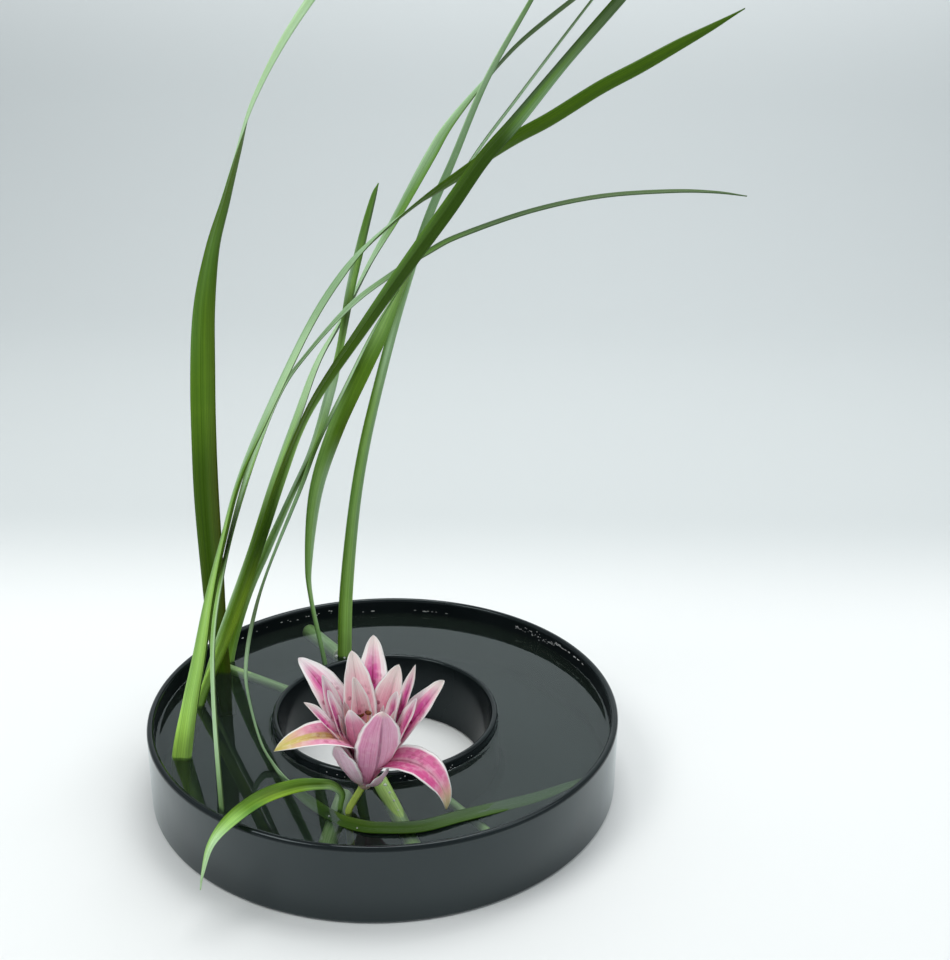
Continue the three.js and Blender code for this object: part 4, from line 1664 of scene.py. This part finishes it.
@dataclass
class Petal:
    """One petal that springs from the receptacle, in millimetres and degrees.

    The azimuth is seen from above, from +X towards +Y. The petal rises at one slope at its
    root and ends at another. Lean swings it sideways along its length and roll turns it
    about its length.
    """

    kind: PetalKind
    azimuth: float
    rise: float
    end: float
    length: float
    width: float
    cup: float
    lean: float = 0.0
    roll: float = 0.0
    ruffle: float = 0.55
    full: float = 1.2
    blunt: float = 0.62
    steps: int = 48
    root: float = 3.0
    crease: float = 0.15
    root_share: float = 0.24
    tip_share: float = 0.03
    root_thick: float = 0.9
    tip_thick: float = 0.45

    def outline(self, t: float) -> float:
        """Find the share of the full width.

        Args:
            t: Share of the length.

        Returns:
            The share of the width.
        """
        body = math.sin(math.pi * t ** self.full) ** self.blunt if 0 < t < 1 else 0.0
        wave = 0.014 * math.sin(t * 29.0 + self.azimuth) + 0.012 * math.sin(t * 53.0 + self.width)
        return max(body * (1.0 + wave), self.root_share * (1.0 - t), self.tip_share)

    def stations(self) -> list[Station]:
        """Work out the petal's cross-sections.

        Returns:
            The stations from root to tip.
        """
        up = Vector((0.0, 0.0, 1.0))
        point = None
        rows = []
        for i in range(self.steps + 1):
            t = i / self.steps
            azimuth = math.radians(self.azimuth + self.lean * t * t)
            outward = Vector((math.cos(azimuth), math.sin(azimuth), 0.0))
            slope = math.radians(self.rise + (self.end - self.rise) * t)
            tangent = outward * math.cos(slope) + up * math.sin(slope)
            normal = up * math.cos(slope) - outward * math.sin(slope)
            normal = Matrix.Rotation(math.radians(self.roll * t), 3, tangent) @ normal
            if point is None:
                point = RECEPTACLE + outward * self.root
            width = max(self.width * self.outline(t), NARROWEST)
            thick = self.root_thick + (self.tip_thick - self.root_thick) * t
            rows.append(Station(point.copy(), tangent, normal, width, thick,
                                self.cup * (1.15 - 0.5 * t), t, self.crease, self.ruffle * t, self.azimuth))
            point = point + tangent * (self.length / self.steps)
        return rows


@dataclass
class Lily:
    """Double lily: bloom, heart and stem, with sizes in millimetres."""

    heart_foot: float = 5.5
    heart_top: float = 105.0
    heart_spread: float = 5.2
    filament_foot: float = 15.5
    stamens: int = 6
    style_radii: tuple[float, float] = (1.4, 1.0)
    stigma_size: Place = (1.9, 1.9, 1.5)
    filament_radii: tuple[float, float] = (0.7, 0.45)
    anther_size: Place = (3.5, 1.35, 1.5)
    anther_turn: float = 1.2
    anther_tilt: float = 0.35
    receptacle_size: Place = (4.6, 4.6, 5.0)
    stem_width: float = 4.4
    stem_depth: float = 4.2
    petal_lanes: int = 16
    stem_lanes: int = 10

    def petals(self) -> list[Petal]:
        """List the petals.

        Returns:
            The petals, the front one first.
        """
        pink, dusty, bright = PetalKind.PINK, PetalKind.DUSTY, PetalKind.BRIGHT
        front, base, cream = PetalKind.FRONT, PetalKind.BASE, PetalKind.CREAM
        return [
            Petal(front, -59, 60.5, 78, 71.7, 27.7, 0.43, -5, -27),
            Petal(PetalKind.LEFT, -139, 105, -36, 89.5, 25, 0.22, -29, -17, full=1.02, blunt=0.78),
            Petal(base, -126, 51, 73, 45, 18, 0.34, -3, 11),
            Petal(PetalKind.RIGHT, -18, 83.4, -101, 84, 25, 0.2, -6, 15, full=0.98, blunt=0.85),
            Petal(base, -54, 31, 65, 32, 15, 0.3, 11, 12),
            Petal(bright, 12, 62.4, 48, 83.5, 21.3, 0.38, -3, 23),
            Petal(bright, 80.6, 79.4, 42.2, 92.5, 21.4, 0.34, 15, 7),
            Petal(pink, 147, 84, 34.3, 91, 24, 0.43, 13, -17),
            Petal(dusty, 103, 84.3, 54.5, 83.3, 21.2, 0.43, 12, 3),
            Petal(dusty, 48.5, 77, 58.3, 77, 22, 0.39, 3.5, 13),
            Petal(bright, 22, 63.5, 72, 83, 11.5, 0.42, 9, 16),
            Petal(pink, -3, 61.4, 67, 68.6, 14.2, 0.43, 12, 27),
            Petal(pink, 14, 71.3, 76, 65, 14.2, 0.36, 14.5, 23),
            Petal(pink, 165, 71.8, 70.7, 75.6, 15.8, 0.41, -17, -10),
            Petal(pink, 186, 75.5, 73.5, 69.2, 13.8, 0.44, -16, -15),
            Petal(dusty, 122, 96.3, 72.4, 72.5, 16.9, 0.43, 18, 6),
            Petal(cream, 243, 90.4, 67.8, 61.8, 18.3, 0.51, 1, 8),
            Petal(cream, 182, 74, 78, 51, 7.5, 0.6, 6, -8),
            Petal(cream, 40, 72, 82, 52, 6.5, 0.7, -6, 20),
            Petal(cream, 118, 80, 84, 50, 7.0, 0.6, 10, 0),
            Petal(cream, 150, 80, 76, 56, 9.0, 0.55, 8, -14),
            Petal(cream, 8, 70, 74, 55, 8.0, 0.6, -8, 22),
            Petal(cream, 212, 86, 80, 47, 8.0, 0.6, 0, -10),
            Petal(bright, 208, 77.8, 47.6, 77, 12, 0.61, -4, -31),
        ]

    def finishes(self) -> list[Material]:
        """Build the petals' materials.

        Returns:
            The materials, in the order of PetalKind.
        """
        white, cream, blush = (1.0, 0.92, 0.93), (0.97, 0.87, 0.82), (0.86, 0.45, 0.6)
        deep, magenta = (0.58, 0.04, 0.24), (0.72, 0.1, 0.4)
        return [
            PetalFinish("petal_pink", (0.92, 0.46, 0.62), (0.74, 0.15, 0.42), white, white, blush,
                        band_width=0.24, margin_from=0.23).make(),
            PetalFinish("petal_dusty", (0.9, 0.47, 0.57), (0.8, 0.28, 0.42), cream, cream, blush,
                        band_width=0.24, margin_from=0.32, tip_from=0.6, groove=0.35).make(),
            PetalFinish("petal_bright", (0.9, 0.38, 0.57), magenta, white, cream, blush,
                        band_width=0.26, margin_from=0.24, tip_from=0.74).make(),
            PetalFinish("petal_left", (0.76, 0.3, 0.46), (0.66, 0.5, 0.16), white, (0.68, 0.6, 0.16), blush,
                        band_width=0.2, band_from=0.5, margin_from=0.36, tip_from=0.68, groove=0.1,
                        spots=0.5).make(),
            PetalFinish("petal_right", (0.72, 0.16, 0.36), (0.8, 0.36, 0.5), white, (0.9, 0.8, 0.42),
                        (0.78, 0.5, 0.58), band_width=0.14, margin_from=0.34, tip_from=0.74, groove=0.4,
                        spots=0.3, side_share=0.8).make(),
            PetalFinish("petal_front", (0.8, 0.46, 0.56), deep, (0.94, 0.7, 0.76), (0.9, 0.7, 0.68),
                        (0.88, 0.5, 0.67), (0.66, 0.16, 0.38), groove=0.75, spots=0.2, tip_from=0.93).make(),
            PetalFinish("petal_cream", (0.9, 0.62, 0.56), (0.88, 0.5, 0.5), cream, white, blush,
                        foot=(0.7, 0.3, 0.14), spots=0.1).make(),
            PetalFinish("petal_base", (0.84, 0.5, 0.6), deep, (0.94, 0.78, 0.82), (0.94, 0.8, 0.82),
                        (0.96, 0.7, 0.82), (0.9, 0.58, 0.72), groove=0.3, spots=0.1, tip_from=0.9).make(),
        ]

    def build_bloom(self) -> Piece:
        """Make the petals and the receptacle that carries them.

        Returns:
            The bloom.
        """
        petals = self.petals()
        parts = [blade_mesh(petal.stations(), self.petal_lanes) for petal in petals]
        indices = [petal.kind.value for petal in petals]
        parts.append(ball_mesh(RECEPTACLE + Vector((0.0, 0.0, 0.5)), self.receptacle_size))
        indices.append(len(PetalKind))
        base = GrainFinish("receptacle_blush", (0.56, 0.34, 0.38), (0.4, 0.36, 0.16), 240.0, 0.55)
        materials = [*self.finishes(), base.make()]
        return finish_piece(gather(parts, indices), "lily_petals", materials, ("lily_bloom",))

    def anther(self, tip: Vector, angle: float) -> Mesh:
        """Make one long anther that lies across the tip of its filament.

        Args:
            tip: Tip of the filament.
            angle: The way that the filament leans, in radians.

        Returns:
            The anther.
        """
        level = Matrix.Rotation(angle + self.anther_turn, 3, "Z")
        turn = level @ Matrix.Rotation(self.anther_tilt, 3, "Y")
        return ball_mesh(tip, self.anther_size, turn=turn)

    def build_heart(self) -> Piece:
        """Make the pistil and the stamens with their anthers.

        Returns:
            The flower's heart.
        """
        x, y, base = RECEPTACLE
        top = Vector((x - 1.0, y, self.heart_top - 1.5))
        style = rod_mesh(Vector((x, y, base + self.heart_foot)), top, *self.style_radii, 10, 14)
        parts = [style, ball_mesh(top, self.stigma_size)]
        indices = [0, 0]
        for i in range(self.stamens):
            angle = math.radians(-60 + 360 / self.stamens * i)
            spread = self.heart_spread * (1.0 + 0.25 * (i % 2))
            height = self.heart_top + 1.5 * (i % 3)
            tip = Vector((x + spread * math.cos(angle), y + spread * math.sin(angle), height))
            foot = Vector((x, y, base + self.filament_foot))
            parts.append(rod_mesh(foot, tip, *self.filament_radii, 8, 10))
            parts.append(self.anther(tip, angle))
            indices.extend((0, 1))
        cream = GrainFinish("style_cream", (0.85, 0.62, 0.36), (0.7, 0.36, 0.2), 900.0, 0.5)
        pollen = GrainFinish("pollen_brown", (0.26, 0.09, 0.02), (0.05, 0.014, 0.005), 1600.0, 0.95)
        return finish_piece(gather(parts, indices), "lily_heart_detail", [cream.make(), pollen.make()],
                            ("lily_heart",))

    def build_stem(self) -> Piece:
        """Make the stem from under the bloom down into the water.

        Returns:
            The stem.
        """
        route = [(-6.5, -106.5, 57.5), (-8.7, -107.6, 54), (-12.2, -109.6, 48.5), (-15.3, -111.6, 42),
                 (-15, -112.8, 30), (-13, -113, LEAF_FOOT)]
        knots = [(x, y, z, self.stem_width, 0.0) for x, y, z in route]
        finish = StalkFinish("lily_stem_green", (0.58, 0.72, 0.14), (0.4, 0.56, 0.07))
        rows = Leaf("lily_stem_detail", "lily_stem", "stalk", finish, knots, cup=0.0, fold=0.0).stations()
        for row in rows:
            row.thickness = self.stem_depth
        bm = blade_mesh(rows, self.stem_lanes)
        return finish_piece(bm, "lily_stem_detail", [finish.make()], ("lily_stem",))

    def build(self) -> None:
        """Make the whole flower."""
        self.build_bloom()
        self.build_heart()
        self.build_stem()


# Room, light and camera


@dataclass(frozen=True)
class Viewpoint:
    """The photo's viewpoint, in millimetres about the bowl's axis, degrees and pixels."""

    spot: Place = (61.78, -761.46, 517.70)
    down: float = 21.067
    tilt: float = 0.750
    focal: float = 1231.91
    sensor: float = 36.0

    def build(self) -> Piece:
        """Place the camera.

        Returns:
            The camera.
        """
        down, tilt = math.radians(self.down), math.radians(self.tilt)
        ahead = Vector((0.0, math.cos(down), -math.sin(down)))
        up = Vector((0.0, math.sin(down), math.cos(down)))
        right = Vector((1.0, 0.0, 0.0))
        camera_right = right * math.cos(tilt) + up * math.sin(tilt)
        camera_up = up * math.cos(tilt) - right * math.sin(tilt)
        turn = Matrix((camera_right, camera_up, -ahead)).transposed()
        data = bpy.data.cameras.new("photo_camera")
        data.sensor_width = self.sensor
        data.lens = self.focal * self.sensor / max(PHOTO_WIDTH, PHOTO_HEIGHT)
        data.clip_start, data.clip_end = 0.01, 60.0
        camera = bpy.data.objects.new("photo_camera", data)
        camera.matrix_world = Matrix.Translation(place(*self.spot)) @ turn.to_4x4()
        bpy.context.scene.collection.objects.link(camera)
        bpy.context.scene.camera = camera
        return camera


@dataclass(frozen=True)
class Room:
    """Pale paper that lies under the bowl and sweeps up behind it, with soft lamps, in metres."""

    near: float = -3.0
    flat: float = 1.3
    bend: float = 0.9
    top: float = 3.0
    half_width: float = 4.5
    near_tone: Colour = (0.77, 0.785, 0.785)
    middle_shade_tone: Colour = (0.55, 0.58, 0.585)
    far_shade_tone: Colour = (0.53, 0.563, 0.572)
    top_light_tone: Colour = (0.93, 0.955, 0.96)
    sky_tone: Colour = (0.81, 0.86, 0.88)
    sky_power: float = 0.62

    def build(self) -> None:
        """Make the paper, the lamps and the even light around."""
        self.paper()
        self.sky()
        self.lamp("key", (-1.2, -0.7, 1.9), 0.9, 16.0, (1.0, 0.99, 0.97))
        self.lamp("back", (0.1, 0.6, 2.1), 1.0, 19.0, (1.0, 1.0, 0.99))
        self.lamp("side", (1.4, -0.2, 2.0), 1.2, 8.0, (0.98, 0.99, 1.0))
        self.lamp("paper", (0.7, 0.9, 2.6), 1.4, 18.0, (0.98, 0.99, 1.0), (0.3, 2.2, 1.9))
        bpy.context.scene.view_settings.view_transform = "Standard"

    def profile(self, share: float) -> tuple[float, float]:
        """Follow the paper from its near edge to its top.

        Args:
            share: Share of its length.

        Returns:
            Distance back and height.
        """
        curve = self.bend * math.pi / 2
        run = share * (self.flat - self.near + curve + self.top - self.bend)
        if run <= self.flat - self.near:
            return self.near + run, 0.0
        run -= self.flat - self.near
        if run <= curve:
            turn = run / self.bend
            return self.flat + self.bend * math.sin(turn), self.bend * (1 - math.cos(turn))
        return self.flat + self.bend, self.bend + run - curve

    def paper(self) -> None:
        """Lay the paper, whose tone greys with distance and lightens high up: painted shade and painted
        light for the lamps' fall-off.
        """
        bm = bmesh.new()
        bmesh.ops.create_grid(bm, x_segments=4, y_segments=120, size=1.0)
        for vert in bm.verts:
            back, height = self.profile((vert.co.y + 1.0) / 2.0)
            vert.co = Vector((vert.co.x * self.half_width, back, height))
        bmesh.ops.recalc_face_normals(bm, faces=bm.faces[:])
        for face in bm.faces:
            face.smooth = True
        mesh = bpy.data.meshes.new("paper_sweep")
        bm.to_mesh(mesh)
        bm.free()
        s = Shader("paper_white")
        split = s.add("SeparateXYZ")
        s.link(s.own_place(), split.inputs[0])
        # Painted shade and light: the paper greys with distance and lightens again high up, for the fall-off
        # of the lamps' light.
        way = s.math("ADD", split.outputs[1], split.outputs[2])
        near = s.mix(s.span(way, 0.2, 0.5), self.near_tone, self.middle_shade_tone)
        far = s.mix(s.span(way, 0.5, 2.2), near, self.far_shade_tone)
        s.link(s.mix(s.span(way, 2.3, 3.4), far, self.top_light_tone), s.body.inputs["Base Color"])
        s.set(Roughness=0.75)
        mesh.materials.append(s.material)
        paper = bpy.data.objects.new("paper_sweep", mesh)
        bpy.context.scene.collection.objects.link(paper)

    def sky(self) -> None:
        """Add a low even light all around."""
        world = bpy.data.worlds.new("pale_room")
        world.use_nodes = True
        background = world.node_tree.nodes["Background"]
        background.inputs["Color"].default_value = (*self.sky_tone, 1.0)
        background.inputs["Strength"].default_value = self.sky_power
        bpy.context.scene.world = world

    def lamp(self, name: str, spot: Place, size: float, power: float, colour: Colour,
             target: Place = (0.0, 0.0, 0.15)) -> None:
        """Hang a soft square lamp.

        Args:
            name: Name of the lamp.
            spot: Its place in metres.
            size: Its side in metres.
            power: Its power in watts.
            colour: Its colour.
            target: The place that it looks at, in metres.
        """
        data = bpy.data.lights.new(name, "AREA")
        data.size, data.energy, data.color = size, power, colour
        lamp = bpy.data.objects.new(name, data)
        lamp.location = spot
        aim = Vector(target) - Vector(spot)
        lamp.rotation_euler = aim.to_track_quat("-Z", "Y").to_euler()
        bpy.context.scene.collection.objects.link(lamp)


def main() -> None:
    """Build the arrangement, the room and the camera, and log each piece's face count."""
    logging.basicConfig(level=logging.INFO, format="%(name)s %(message)s")
    Viewpoint().build()
    Room().build()
    bowl = RingBowl()
    bowl.build()
    StillWater(bowl).build()
    WaterDrops(bowl).build()
    LeafGroup().build()
    for strut in struts():
        strut.build()
    Lily().build()


if __name__ == "__main__":
    main()
